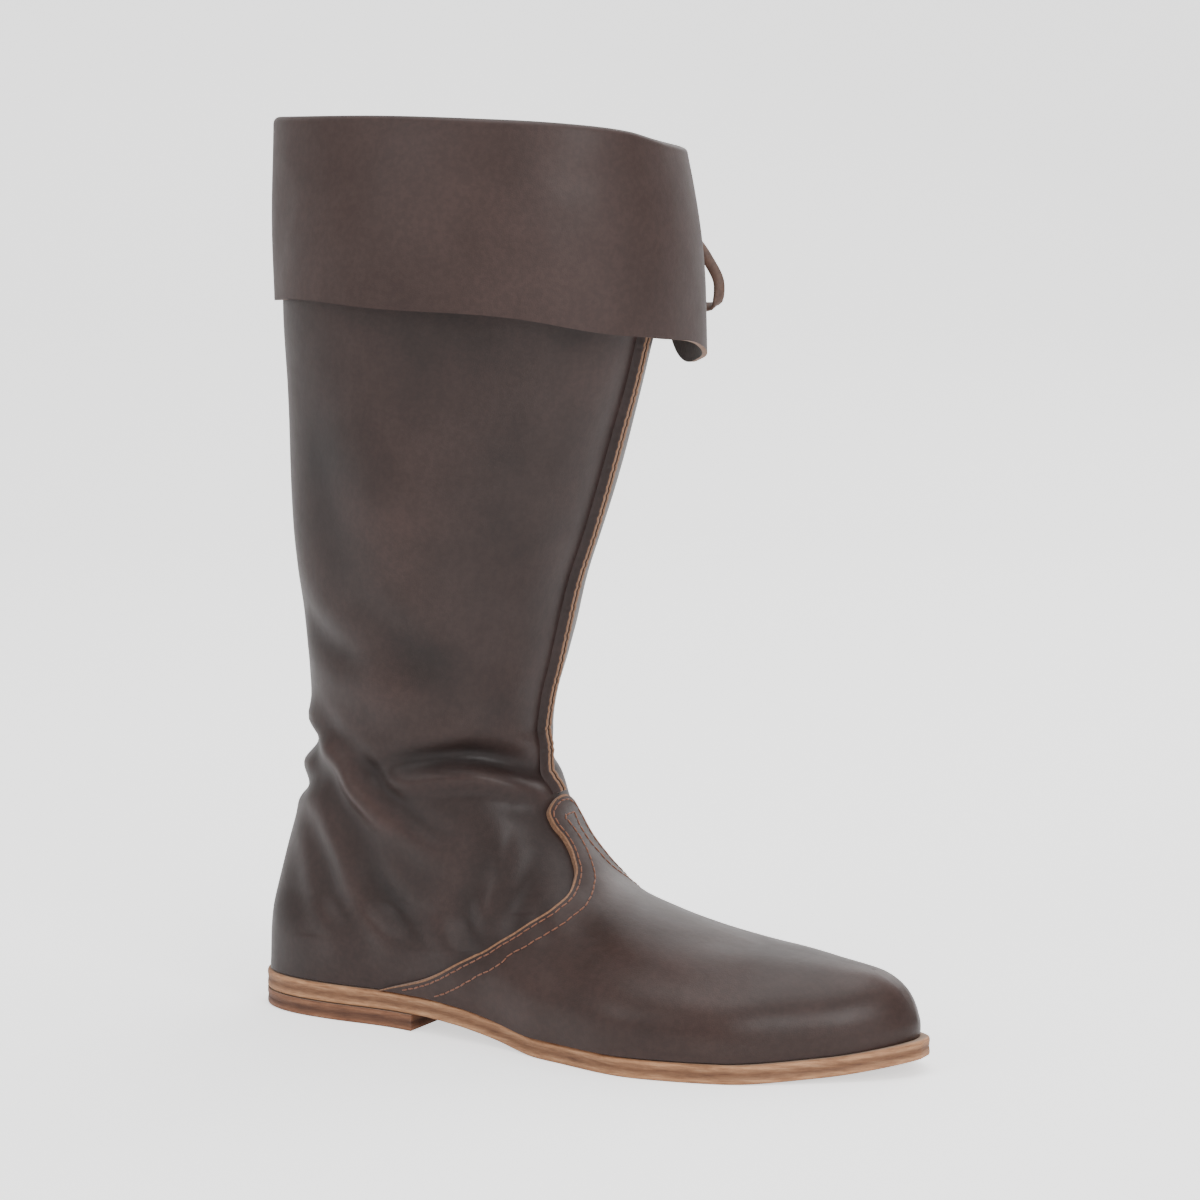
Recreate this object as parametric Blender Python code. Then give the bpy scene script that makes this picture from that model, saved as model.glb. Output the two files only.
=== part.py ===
"""A calf-high leather boot for the left foot, with a turned-down cuff and a laced slit on its outer side.
The toe points along +X, the laced side is +Y, and the origin lies on the floor under the middle of the heel."""
import math

import bpy
import numpy as np
from mathutils import Matrix

# Sole
SOLE_LENGTH = 0.296
BALL_WIDTH = 0.110
HEEL_SETBACK = 0.036
HEEL_END_RADIUS = 0.033
TOE_END_RADIUS = 0.013
SOLE_THICKNESS = 0.0075
HEEL_LIFT_HEIGHT = 0.007
HEEL_LIFT_LENGTH = 0.085
TOE_SPRING = 0.006
EDGE_BEVEL = 0.0006
INSOLE_THICKNESS = 0.0025
INSOLE_GAP = 0.0025

# Upper
WALL = 0.002
SIDE_LEDGE = 0.0015
THROAT_HEIGHT = 0.121
BOOT_HEIGHT = 0.366
RIM_DROP = 0.0125
SHAFT_DEPTH = 0.165
SHAFT_WIDTH = 0.122
SIDE_BULGE = 0.0035
CLEARANCE = 0.0003
SEAT = 0.0006

# Overlays
VAMP_THICKNESS = 0.0014
VAMP_BELOW_THROAT = 0.026
SEAM_WIDTH = 0.0055
SEAM_HEIGHT = 0.0025
SEAM_GROOVE = 0.0012
CUFF_DROP = 0.073
CUFF_FLARE = 0.008
CUFF_CORNER = 0.020
FOLD_GAP = 0.0016

# Slit and lacing
SLIT_BOTTOM = 0.028
SLIT_GAP = 0.004
ANKLE_GAP = 0.009
LACE_WIDTH = 0.0045
LACE_THICKNESS = 0.0016
CROSSES = 7
LOWEST_CROSS = 0.041
CROSS_SPACING = 0.0475
CROSS_WIDTH = 0.020
CROSS_HEIGHT = 0.024
CORD_RADIUS = 0.0015
KNOT_SIZE = (0.016, 0.011, 0.014)
KNOT_HEIGHT = 0.340

SOLE_PLAN = np.array([
    # share of the sole's length, then half width and sideways shift as shares of the ball's width
    (0.00, 0.000, 0.000),
    (0.06, 0.250, 0.000),
    (0.14, 0.300, 0.000),
    (0.26, 0.310, -0.010),
    (0.40, 0.345, -0.050),
    (0.54, 0.432, -0.085),
    (0.68, 0.500, -0.100),
    (0.80, 0.440, -0.095),
    (0.90, 0.290, -0.075),
    (0.96, 0.175, -0.060),
    (1.00, 0.000, -0.050),
])

SOLE_RISE = np.array([
    # share of the sole's length, then the underside's height as shares of heel lift and toe spring
    (0.00, 1.00, 0.0),
    (0.30, 1.00, 0.0),
    (0.36, 0.86, 0.0),
    (0.43, 0.45, 0.0),
    (0.51, 0.00, 0.0),
    (0.79, 0.00, 0.0),
    (0.90, 0.00, 0.3),
    (1.00, 0.00, 1.0),
])

INSTEP = np.array([
    # share of the rise from toe to throat, and of the sole's length
    (0.000, 0.979),
    (0.051, 0.980),
    (0.108, 0.973),
    (0.160, 0.961),
    (0.209, 0.931),
    (0.247, 0.849),
    (0.284, 0.756),
    (0.324, 0.678),
    (0.371, 0.610),
    (0.423, 0.558),
    (0.481, 0.528),
    (0.547, 0.506),
    (0.608, 0.487),
    (0.668, 0.470),
    (0.728, 0.455),
    (0.791, 0.444),
    (0.860, 0.433),
    (0.930, 0.424),
    (1.000, 0.4205),
])

SHAFT_FRONT = np.array([
    # share of the rise from throat to rim, and of the way forward from throat to rim
    (0.000, 0.000),
    (0.057, 0.036),
    (0.118, 0.109),
    (0.180, 0.182),
    (0.250, 0.266),
    (0.322, 0.378),
    (0.404, 0.500),
    (0.486, 0.615),
    (0.567, 0.718),
    (0.629, 0.782),
    (0.731, 0.882),
    (0.873, 0.973),
    (1.000, 1.000),
])

LEG = np.array([
    # share of the boot's height, back line's way forward by the sole's length, half width by the shaft's
    (0.040, 0.000, 0.557),
    (0.109, 0.007, 0.600),
    (0.169, 0.025, 0.618),
    (0.246, 0.053, 0.636),
    (0.290, 0.070, 0.648),
    (0.369, 0.074, 0.706),
    (0.451, 0.070, 0.787),
    (0.546, 0.058, 0.869),
    (0.656, 0.050, 0.935),
    (0.820, 0.045, 0.992),
    (1.000, 0.045, 1.000),
])

SLIT = np.array([
    # share of the boot's height, place along the sole's length, share of the ankle's extra gap
    (0.000, 0.190, 0.0),
    (0.077, 0.203, 0.0),
    (0.170, 0.230, 0.3),
    (0.285, 0.256, 1.0),
    (0.400, 0.277, 0.3),
    (0.546, 0.297, 0.0),
    (0.700, 0.317, 0.0),
    (0.850, 0.329, 0.0),
    (1.000, 0.334, 0.0),
])

VAMP_EDGE = np.array([
    # share of the rise from sole to apex, and of the sole's length
    (0.00, 0.213),
    (0.035, 0.243),
    (0.12, 0.313),
    (0.25, 0.386),
    (0.34, 0.434),
    (0.44, 0.475),
    (0.52, 0.506),
    (0.58, 0.515),
    (0.65, 0.510),
    (0.72, 0.498),
    (0.80, 0.481),
    (0.88, 0.462),
    (0.94, 0.4525),
    (1.00, 0.450),
])

RIM = np.array([
    # degrees round from the front, then how far the rim lies below the boot's height by the rim's drop
    (-180, 0.08),
    (-135, 0.04),
    (-100, 0.00),
    (-60, 0.12),
    (-35, 0.30),
    (-20, 0.48),
    (-8, 0.72),
    (5, 0.90),
    (20, 1.00),
    (45, 0.92),
    (85, 0.62),
    (130, 0.30),
    (180, 0.08),
])

CUFF_SHAPE = np.array([
    # degrees round from the front, then drop and flare as shares of the cuff's own
    (-250, 1.21, 0.90),
    (-225, 1.05, 0.40),
    (-200, 0.98, 0.05),
    (-180, 0.985, 0.00),
    (-140, 0.99, 0.30),
    (-90, 1.00, 1.00),
    (-30, 1.07, 0.80),
    (0, 1.06, 0.70),
    (30, 1.14, 0.95),
    (55, 1.27, 1.20),
])

CUFF_ENDS = {"front rim": 85, "front hem": 52, "rear rim": 94, "rear hem": 112}


def ease(at, table, column=1):
    """A smooth curve through a table's rows that never swings past them."""
    knots = table[:, 0]
    values = table[:, column]
    steps = np.diff(knots)
    rises = np.diff(values) / steps
    slopes = np.zeros(len(knots))
    slopes[0] = rises[0]
    slopes[-1] = rises[-1]
    before = rises[:-1]
    after = rises[1:]
    same = before * after > 0
    near = (2 * steps[1:] + steps[:-1])[same]
    far = (steps[1:] + 2 * steps[:-1])[same]
    slopes[1:-1][same] = (near + far) / (near / before[same] + far / after[same])
    at = np.asarray(at, float)
    row = np.clip(np.searchsorted(knots, at, side="right") - 1, 0, len(steps) - 1)
    step = steps[row]
    part = np.clip((at - knots[row]) / step, 0, 1)
    rest = 1 - part
    low = rest**2 * ((1 + 2 * part) * values[row] + part * step * slopes[row])
    high = part**2 * ((3 - 2 * part) * values[row + 1] - rest * step * slopes[row + 1])
    return low + high


def fade(value, start, end):
    """0 before start, 1 after end, smooth between."""
    part = np.clip((value - start) / (end - start), 0, 1)
    return part * part * (3 - 2 * part)


def outline(share, ball_width):
    """Half width and sideways shift of the last at a share of its length, round at both ends."""
    share = np.clip(share, 0, 1)
    knots = SOLE_PLAN[:, 0]
    fullness = np.empty(len(knots))
    fullness[1:-1] = SOLE_PLAN[1:-1, 1] * ball_width / (2 * np.sqrt(knots[1:-1] * (1 - knots[1:-1])))
    fullness[0] = math.sqrt(2 * HEEL_END_RADIUS * SOLE_LENGTH) / 2
    fullness[-1] = math.sqrt(2 * TOE_END_RADIUS * SOLE_LENGTH) / 2
    full = ease(share, np.column_stack([knots, fullness]))
    half = full * 2 * np.sqrt(share * (1 - share))
    return half, ease(share, SOLE_PLAN, 2) * ball_width


def along_sole(share):
    return share * SOLE_LENGTH - HEEL_SETBACK


def sole_under(x):
    share = (x + HEEL_SETBACK) / SOLE_LENGTH
    return HEEL_LIFT_HEIGHT * ease(share, SOLE_RISE, 1) + TOE_SPRING * ease(share, SOLE_RISE, 2)


def sole_top(x):
    return sole_under(x) + SOLE_THICKNESS


# Heights and ends that the upper is worked out from
HEEL_END = SIDE_LEDGE - HEEL_SETBACK
TOE_END = along_sole(INSTEP[0, 1])
TOE_BASE = float(sole_top(TOE_END)) + SEAT
LEVEL_ABOVE_FOOT = 0.3 * THROAT_HEIGHT
LEVEL_UNDER_RIM = 0.8 * BOOT_HEIGHT
WALL_TOP = BOOT_HEIGHT - WALL - FOLD_GAP
THROAT_X = along_sole(INSTEP[-1, 1])
VAMP_APEX = THROAT_HEIGHT - VAMP_BELOW_THROAT


def back_line(level):
    return HEEL_END + SOLE_LENGTH * ease(level / BOOT_HEIGHT, LEG, 1)


def front_line(level):
    """How far forward the upper reaches at a level: over the toe and instep to the throat, then up the shaft."""
    rise = (level - TOE_BASE) / (THROAT_HEIGHT - TOE_BASE)
    instep = along_sole(ease(rise, INSTEP))
    rise = (level - THROAT_HEIGHT) / (BOOT_HEIGHT - THROAT_HEIGHT)
    rim_front = float(back_line(BOOT_HEIGHT)) + SHAFT_DEPTH
    shaft = THROAT_X + (rim_front - THROAT_X) * ease(rise, SHAFT_FRONT)
    return np.where(level < THROAT_HEIGHT, instep, shaft)


RIDGE_LEVELS = np.linspace(TOE_BASE, THROAT_HEIGHT, 400)
RIDGE_STEEPNESS = 6.0


def ridge_height(x):
    """Height of the instep's ridge over a point, rising steeply behind the throat."""
    reach = np.minimum.accumulate(front_line(RIDGE_LEVELS))
    ridge = np.interp(x, reach[::-1], RIDGE_LEVELS[::-1])
    return ridge + RIDGE_STEEPNESS * np.maximum(THROAT_X - x, 0)


def rim_height(angle):
    degrees = (np.degrees(angle) + 180) % 360 - 180
    return BOOT_HEIGHT - RIM_DROP * ease(degrees, RIM)


def upper_point(level, angle):
    """The upper's outer face. A level is a slice through the boot, settled onto the sole below and tilted
    to the rim above. The angle runs round the slice: 0 in front, a quarter turn on the laced side."""
    level = np.asarray(level, float)
    back = back_line(level)
    front = front_line(level)
    x = (back + front) / 2 + (front - back) / 2 * np.cos(angle)
    feather = sole_top(x) + SEAT
    settled = feather + (level - TOE_BASE) * (LEVEL_ABOVE_FOOT - feather) / (LEVEL_ABOVE_FOOT - TOE_BASE)
    rim = rim_height(angle) - (BOOT_HEIGHT - WALL_TOP)
    tilted = LEVEL_UNDER_RIM + (level - LEVEL_UNDER_RIM) * (rim - LEVEL_UNDER_RIM) / (WALL_TOP - LEVEL_UNDER_RIM)
    z = np.where(level < LEVEL_ABOVE_FOOT, settled, np.where(level > LEVEL_UNDER_RIM, tilted, level))
    half, shift = outline((x - back) / (TOE_END - back), BALL_WIDTH - 2 * SIDE_LEDGE)
    ridge = np.maximum(ridge_height(x), feather + SOLE_THICKNESS)
    height = np.clip((z - feather) / (ridge - feather), 0, 1)
    bulge = SIDE_BULGE * np.sin(math.pi * np.clip((z - feather) / LEVEL_ABOVE_FOOT, 0, 1))
    foot = (half + bulge * np.abs(np.sin(angle))) * np.sqrt(1 - height**2.2)
    leg = SHAFT_WIDTH / 2 * ease(level / BOOT_HEIGHT, LEG, 2) * np.abs(np.sin(angle)) ** 0.92
    up = fade(z, LEVEL_ABOVE_FOOT, THROAT_HEIGHT)
    side = np.where(np.sin(angle) < 0, -1.0, 1.0)
    y = shift * (1 - up) + side * (foot * (1 - up) + leg * up)
    return np.stack(np.broadcast_arrays(x, y, z), axis=-1)


def upper_normal(level, angle):
    """Outward direction of the upper, level at its two edges so that they stay flat."""
    level = np.asarray(level, float)
    turn = 2e-3
    lift = 1e-4
    round_it = upper_point(level, angle + turn) - upper_point(level, angle - turn)
    up_it = upper_point(level + lift, angle) - upper_point(level - lift, angle)
    normal = np.cross(round_it, up_it)
    edge = 2 * WALL
    normal[..., 2] *= np.clip((level - TOE_BASE) / edge, 0, 1) * np.clip((WALL_TOP - level) / edge, 0, 1)
    return normal / np.linalg.norm(normal, axis=-1, keepdims=True)


def on_upper(level, angle, out):
    return upper_point(level, angle) + out * upper_normal(level, angle)


def angle_at(level, x):
    """The angle on the laced side where a slice passes a place along the boot."""
    back = back_line(level)
    front = front_line(level)
    return np.arccos(np.clip((x - (back + front) / 2) / ((front - back) / 2), -1, 1))


def slit_angles(level):
    """Front and rear edge of the slit at a level."""
    share = level / BOOT_HEIGHT
    x = along_sole(ease(share, SLIT, 1))
    gap = SLIT_GAP + (ANKLE_GAP - SLIT_GAP) * ease(share, SLIT, 2)
    return angle_at(level, x + gap / 2), angle_at(level, x - gap / 2)


def spaced_levels(start, end, count, shaft_weight=0.5):
    """Levels at even steps along the front line, with wider steps up the shaft."""
    fine = np.linspace(start, end, 800)
    reach = front_line(fine)
    step = np.hypot(np.diff(reach), np.diff(fine))
    step = np.where(fine[1:] > THROAT_HEIGHT, shaft_weight * step, step)
    run = np.concatenate([[0], np.cumsum(step)])
    return np.interp(np.linspace(0, run[-1], count), run, fine)


def make_material(name, colour, roughness):
    material = bpy.data.materials.new(name)
    material.use_nodes = True
    shader = material.node_tree.nodes["Principled BSDF"]
    shader.inputs["Base Color"].default_value = (*colour, 1)
    shader.inputs["Roughness"].default_value = roughness
    shader.inputs["Metallic"].default_value = 0.0
    return material


def make_object(name, points, faces, material, smooth=40):
    """A mesh object whose faces are turned to point outwards."""
    points = np.asarray(points, float).reshape(-1, 3)
    volume = 0.0
    for face in faces:
        for i in range(1, len(face) - 1):
            volume += np.dot(points[face[0]], np.cross(points[face[i]], points[face[i + 1]]))
    if volume < 0:
        faces = [face[::-1] for face in faces]
    mesh = bpy.data.meshes.new(name)
    mesh.from_pydata(points.tolist(), [], faces)
    mesh.shade_smooth()
    mesh.set_sharp_from_angle(angle=math.radians(smooth))
    mesh.materials.append(material)
    made = bpy.data.objects.new(name, mesh)
    bpy.context.scene.collection.objects.link(made)
    return made


def walled(name, outer, inner, material, joined_rows=0):
    """A wall between two grids of points. Its two ends are joined as far up as joined_rows."""
    rows, columns = outer.shape[:2]

    def face_out(i, j):
        return i * columns + j % columns

    def face_in(i, j):
        return rows * columns + i * columns + j % columns

    faces = []
    for i in range(rows - 1):
        for j in range(columns if i < joined_rows else columns - 1):
            faces.append([face_out(i, j), face_out(i, j + 1), face_out(i + 1, j + 1), face_out(i + 1, j)])
            faces.append([face_in(i, j), face_in(i + 1, j), face_in(i + 1, j + 1), face_in(i, j + 1)])
    for j in range(columns if joined_rows > 0 else columns - 1):
        faces.append([face_out(0, j + 1), face_out(0, j), face_in(0, j), face_in(0, j + 1)])
    for j in range(columns - 1):
        top = rows - 1
        faces.append([face_out(top, j), face_out(top, j + 1), face_in(top, j + 1), face_in(top, j)])
    for i in range(joined_rows, rows - 1):
        last = columns - 1
        faces.append([face_out(i, 0), face_out(i + 1, 0), face_in(i + 1, 0), face_in(i, 0)])
        faces.append([face_out(i + 1, last), face_out(i, last), face_in(i, last), face_in(i + 1, last)])
    if joined_rows > 0:
        i, last = joined_rows, columns - 1
        faces.append([face_out(i, last), face_out(i, 0), face_in(i, 0), face_in(i, last)])
    points = np.concatenate([outer.reshape(-1, 3), inner.reshape(-1, 3)])
    return make_object(name, points, faces, material)


def plate(name, stations, inset, heights, material):
    """A sole layer: the last's outline between two ends, through rings at the given insets and heights."""
    half, shift = outline(stations, BALL_WIDTH)
    x = along_sole(stations)
    rings = []
    for i in range(len(heights)):
        narrow = np.maximum(half - inset[i], half * 0.02)
        middle = (x[0] + x[-1]) / 2
        stretch = 1 - 2 * inset[i] / (x[-1] - x[0])
        ring_x = middle + (x - middle) * stretch
        inner_side = np.column_stack([ring_x, shift - narrow, heights[i](x)])
        outer_side = np.column_stack([ring_x, shift + narrow, heights[i](x)])
        rings.append((inner_side, outer_side))
    count = len(stations)
    points = np.concatenate([np.concatenate([a, b]) for a, b in rings])

    def corner(ring, side, k):
        return ring * 2 * count + side * count + k

    faces = []
    for ring in range(len(rings) - 1):
        for k in range(count - 1):
            for side in (0, 1):
                quad = [corner(ring, side, k), corner(ring, side, k + 1)]
                quad += [corner(ring + 1, side, k + 1), corner(ring + 1, side, k)]
                faces.append(quad if side == 0 else quad[::-1])
        faces.append([corner(ring, 1, 0), corner(ring, 0, 0), corner(ring + 1, 0, 0), corner(ring + 1, 1, 0)])
        last = count - 1
        faces.append([corner(ring, 0, last), corner(ring, 1, last), corner(ring + 1, 1, last), corner(ring + 1, 0, last)])
    for k in range(count - 1):
        top = len(rings) - 1
        faces.append([corner(0, 0, k + 1), corner(0, 0, k), corner(0, 1, k), corner(0, 1, k + 1)])
        faces.append([corner(top, 0, k), corner(top, 0, k + 1), corner(top, 1, k + 1), corner(top, 1, k)])
    return make_object(name, points, faces, material, smooth=30)


def rounded_stations(end, count):
    return end * (1 - np.cos(np.linspace(0, math.pi, count))) / 2


def make_outsole(material):
    stations = 0.002 + 0.996 * rounded_stations(1, 38)
    heights = [
        sole_under,
        lambda x: sole_under(x) + EDGE_BEVEL,
        lambda x: sole_top(x) - EDGE_BEVEL,
        sole_top,
    ]
    return plate("outsole", stations, [EDGE_BEVEL, 0, 0, EDGE_BEVEL], heights, material)


def make_heel_lift(material):
    end = HEEL_LIFT_LENGTH / SOLE_LENGTH
    stations = 0.002 + (end - 0.002) * (1 - np.cos(np.linspace(0, math.pi / 2, 14)))
    top = HEEL_LIFT_HEIGHT - CLEARANCE
    heights = [
        lambda x: 0 * x,
        lambda x: 0 * x + EDGE_BEVEL,
        lambda x: 0 * x + top,
    ]
    return plate("heel_lift", stations, [EDGE_BEVEL, 0, 0], heights, material)


def make_insole(material):
    stations = 0.03 + 0.925 * rounded_stations(1, 24)
    under = SIDE_LEDGE + WALL + INSOLE_GAP
    heights = [
        lambda x: sole_top(x) + CLEARANCE,
        lambda x: sole_top(x) + CLEARANCE + INSOLE_THICKNESS,
    ]
    return plate("insole", stations, [under, under], heights, material)


FRONT_COLUMNS = 11
MEDIAL_COLUMNS = 21
REAR_COLUMNS = 8


def crowded(count, crowding):
    """Even steps from 0 to 1, crowded towards both ends."""
    even = np.linspace(0, 1, count + 1)
    return (1 - crowding) * even + crowding * (1 - np.cos(math.pi * even)) / 2


def slit_grid(levels, front_columns, medial_columns, rear_columns):
    """Angles of each level's columns, from the slit's front edge round the front, inner side and back."""
    front_edge, rear_edge = slit_angles(levels)
    rows = []
    for i in range(len(levels)):
        first = front_edge[i] * (1 - crowded(front_columns, 0.5)[:-1])
        second = -math.pi * crowded(medial_columns, 0.3)[:-1]
        third = -math.pi + (rear_edge[i] - math.pi) * crowded(rear_columns, 0.3)
        rows.append(np.concatenate([first, second, third]))
    return np.array(rows)


def upper_grid():
    """The upper's levels and angles, one row at the slit's bottom. The vamp takes its grid from them."""
    levels = spaced_levels(TOE_BASE, WALL_TOP, 31)
    slit_row = int(np.argmin(np.abs(levels - SLIT_BOTTOM)))
    levels[slit_row] = SLIT_BOTTOM
    angles = slit_grid(levels, FRONT_COLUMNS, MEDIAL_COLUMNS, REAR_COLUMNS)
    return np.repeat(levels[:, None], angles.shape[1], axis=1), angles, slit_row


def make_upper(material):
    levels, angles, slit_row = upper_grid()
    outer = on_upper(levels, angles, 0)
    inner = on_upper(levels, angles, -WALL)
    return walled("upper", outer, inner, material, joined_rows=slit_row)


def make_vamp(material):
    """A shell over the foot, cut along the vamp's edge by a block as wide as the boot."""
    levels, angles, _ = upper_grid()
    rows = int(np.searchsorted(levels[:, 0], VAMP_APEX)) + 1
    columns = FRONT_COLUMNS + int(MEDIAL_COLUMNS * 0.8)
    levels, angles = levels[:rows, :columns], angles[:rows, :columns]
    outer = on_upper(levels, angles, SEAT + VAMP_THICKNESS)
    inner = on_upper(levels, angles, SEAT)
    vamp = walled("vamp", outer, inner, material)
    rise = np.linspace(0, 1, 30)
    edge_z = TOE_BASE + rise * (VAMP_APEX - TOE_BASE)
    edge_x = along_sole(ease(rise, VAMP_EDGE))
    beyond = along_sole(1.1)
    ends_x = [beyond, beyond, edge_x[0]]
    ends_z = [VAMP_APEX, 0, 0]
    profile = np.column_stack([np.concatenate([edge_x, ends_x]), np.concatenate([edge_z, ends_z])])
    count = len(profile)
    sides = []
    for y in (-BALL_WIDTH, BALL_WIDTH):
        sides.append(np.column_stack([profile[:, 0], np.full(count, y), profile[:, 1]]))
    faces = [[k for k in range(count)], [count + k for k in range(count)][::-1]]
    for k in range(count):
        after = (k + 1) % count
        faces.append([after, k, count + k, count + after])
    block = make_object("vamp_block", np.concatenate(sides), faces, material)
    block.hide_render = True
    block.display_type = "WIRE"
    cut = vamp.modifiers.new("edge", "BOOLEAN")
    cut.operation = "INTERSECT"
    cut.object = block
    return vamp


def make_front_seam(material):
    """Two raw edges side by side with a groove between, carried up the front line."""
    start = VAMP_APEX + 2 * CLEARANCE
    levels = np.linspace(start, 0.92 * BOOT_HEIGHT, 22)
    half = SEAM_WIDTH / 2
    groove = SEAM_GROOVE / 2
    bottom = 3 * CLEARANCE
    top = bottom + SEAM_HEIGHT
    round_off = 0.25 * SEAM_HEIGHT
    profile = np.array([
        (-half, bottom),
        (-half, top - round_off),
        (-half + round_off, top),
        (-groove, top),
        (-groove / 2, top - SEAM_GROOVE),
        (groove / 2, top - SEAM_GROOVE),
        (groove, top),
        (half - round_off, top),
        (half, top - round_off),
        (half, bottom),
    ])
    zero = np.zeros(len(levels))
    base = upper_point(levels, zero)
    normal = upper_normal(levels, zero)
    across = np.array([0.0, 1.0, 0.0])
    count = len(profile)
    points = base[:, None, :] + profile[None, :, 0, None] * across + profile[None, :, 1, None] * normal[:, None, :]
    faces = []
    for i in range(len(levels) - 1):
        for k in range(count):
            after = (k + 1) % count
            faces.append([i * count + k, i * count + after, (i + 1) * count + after, (i + 1) * count + k])
    faces.append([k for k in range(count)][::-1])
    faces.append([(len(levels) - 1) * count + k for k in range(count)])
    return make_object("front_seam", points, faces, material)


def cuff_grid(out):
    """One face of the cuff, out being its distance from the leather's middle. Rows run from the wall's top
    over the fold and down to the hem, columns round from the front flap to the rear flap."""
    fold = (WALL + FOLD_GAP) / 2
    near_flap = 1 - np.cos(np.linspace(0, math.pi / 2, 6))
    columns = np.concatenate([0.09 * near_flap[:-1], np.linspace(0.09, 0.91, 29), 1 - 0.09 * near_flap[-2::-1]])
    drops = np.array([0.04, 0.14, 0.3, 0.5, 0.72, 0.9, 1.0])
    rows = [("foot", 0.0)]
    for turn in np.linspace(0, math.pi, 5):
        rows.append(("fold", turn))
    for drop in drops:
        rows.append(("drop", drop))
    grid = []
    for kind, value in rows:
        share = value if kind == "drop" else 0.0
        front_end = CUFF_ENDS["front rim"] + (CUFF_ENDS["front hem"] - CUFF_ENDS["front rim"]) * share
        rear_end = CUFF_ENDS["rear rim"] + (CUFF_ENDS["rear hem"] - CUFF_ENDS["rear rim"]) * share - 360
        degrees = front_end + (rear_end - front_end) * columns
        angle = np.radians(degrees)
        base = upper_point(np.full(len(angle), WALL_TOP), angle)
        normal = upper_normal(np.full(len(angle), WALL_TOP), angle)
        middle = base - normal * WALL / 2
        rim = rim_height(angle) - fold - WALL / 2
        if kind == "foot":
            away = -out
            up = rim_height(angle) - WALL - FOLD_GAP + CLEARANCE
        elif kind == "fold":
            away = fold - (fold + out) * math.cos(value)
            up = rim + (fold + out) * math.sin(value)
        else:
            flare = CUFF_FLARE * ease(degrees, CUFF_SHAPE, 2)
            length = CUFF_DROP * ease(degrees, CUFF_SHAPE, 1)
            reach = SHAFT_DEPTH / 2
            from_end = np.minimum(columns, 1 - columns) * math.radians(front_end - rear_end) * reach
            inside = np.clip(CUFF_CORNER - from_end, 0, CUFF_CORNER)
            length = length - (CUFF_CORNER - np.sqrt(CUFF_CORNER**2 - inside**2))
            away = 2 * fold + out + flare * np.sin(math.pi / 2 * np.clip(share / 0.7, 0, 1))
            up = rim - share * (length - fold - WALL / 2)
        point = middle + normal * np.asarray(away)[..., None] * np.ones(len(angle))[:, None]
        point[:, 2] = up
        grid.append(point)
    return np.array(grid)


def make_cuff(material):
    return walled("cuff", cuff_grid(WALL / 2), cuff_grid(-WALL / 2), material)


def lace_bar(name, level, slope, hump):
    """One strand of a crossing: a flat strip over the slit, raised in the middle by hump."""
    run = np.linspace(-1, 1, 9)
    levels = level + slope * run * CROSS_HEIGHT / 2
    x = along_sole(ease(levels / BOOT_HEIGHT, SLIT, 1)) + run * CROSS_WIDTH / 2
    angles = angle_at(levels, x)
    out = CLEARANCE + hump * np.cos(run * math.pi / 2) ** 2
    base = on_upper(levels, angles, 0)
    normal = upper_normal(levels, angles)
    along = np.gradient(base, axis=0)
    across = np.cross(along, normal)
    across /= np.linalg.norm(across, axis=1, keepdims=True)
    points = []
    for side, height in ((-1, 0), (1, 0), (1, 1), (-1, 1)):
        points.append(base + side * across * LACE_WIDTH / 2 + normal * (out + height * LACE_THICKNESS)[:, None])
    points = np.stack(points, axis=1)
    faces = []
    for i in range(len(run) - 1):
        for k in range(4):
            after = (k + 1) % 4
            faces.append([i * 4 + k, i * 4 + after, (i + 1) * 4 + after, (i + 1) * 4 + k])
    faces.append([3, 2, 1, 0])
    faces.append([(len(run) - 1) * 4 + k for k in range(4)])
    return name, points, faces


def make_crossing(number, material):
    """Two strands of the thong, the upper one riding over the lower, joined where they cross."""
    level = LOWEST_CROSS + number * CROSS_SPACING
    seat = 4 * CLEARANCE
    under = make_object(*lace_bar(f"lace_cross_{number + 1}", level, 1, seat), material)
    over = make_object(*lace_bar(f"lace_over_{number + 1}", level, -1, seat + 0.8 * LACE_THICKNESS), material)
    over.hide_render = True
    over.display_type = "WIRE"
    join = under.modifiers.new("join", "BOOLEAN")
    join.operation = "UNION"
    join.object = over
    return under


def knot_centre():
    """The knot sits over the slit, just clear of the shaft."""
    share = KNOT_HEIGHT / BOOT_HEIGHT
    x = along_sole(ease(share, SLIT, 1))
    seat = upper_point(np.array(KNOT_HEIGHT), angle_at(KNOT_HEIGHT, x))
    return np.array([x, seat[1] + KNOT_SIZE[1] / 2, KNOT_HEIGHT])


def make_knot(material):
    bpy.ops.mesh.primitive_uv_sphere_add(segments=14, ring_count=8, radius=0.5)
    knot = bpy.context.active_object
    knot.name = "lace_knot"
    knot.data.transform(Matrix.Diagonal((*KNOT_SIZE, 1)))
    knot.location = knot_centre()
    knot.data.shade_smooth()
    knot.data.materials.append(material)
    return knot


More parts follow.
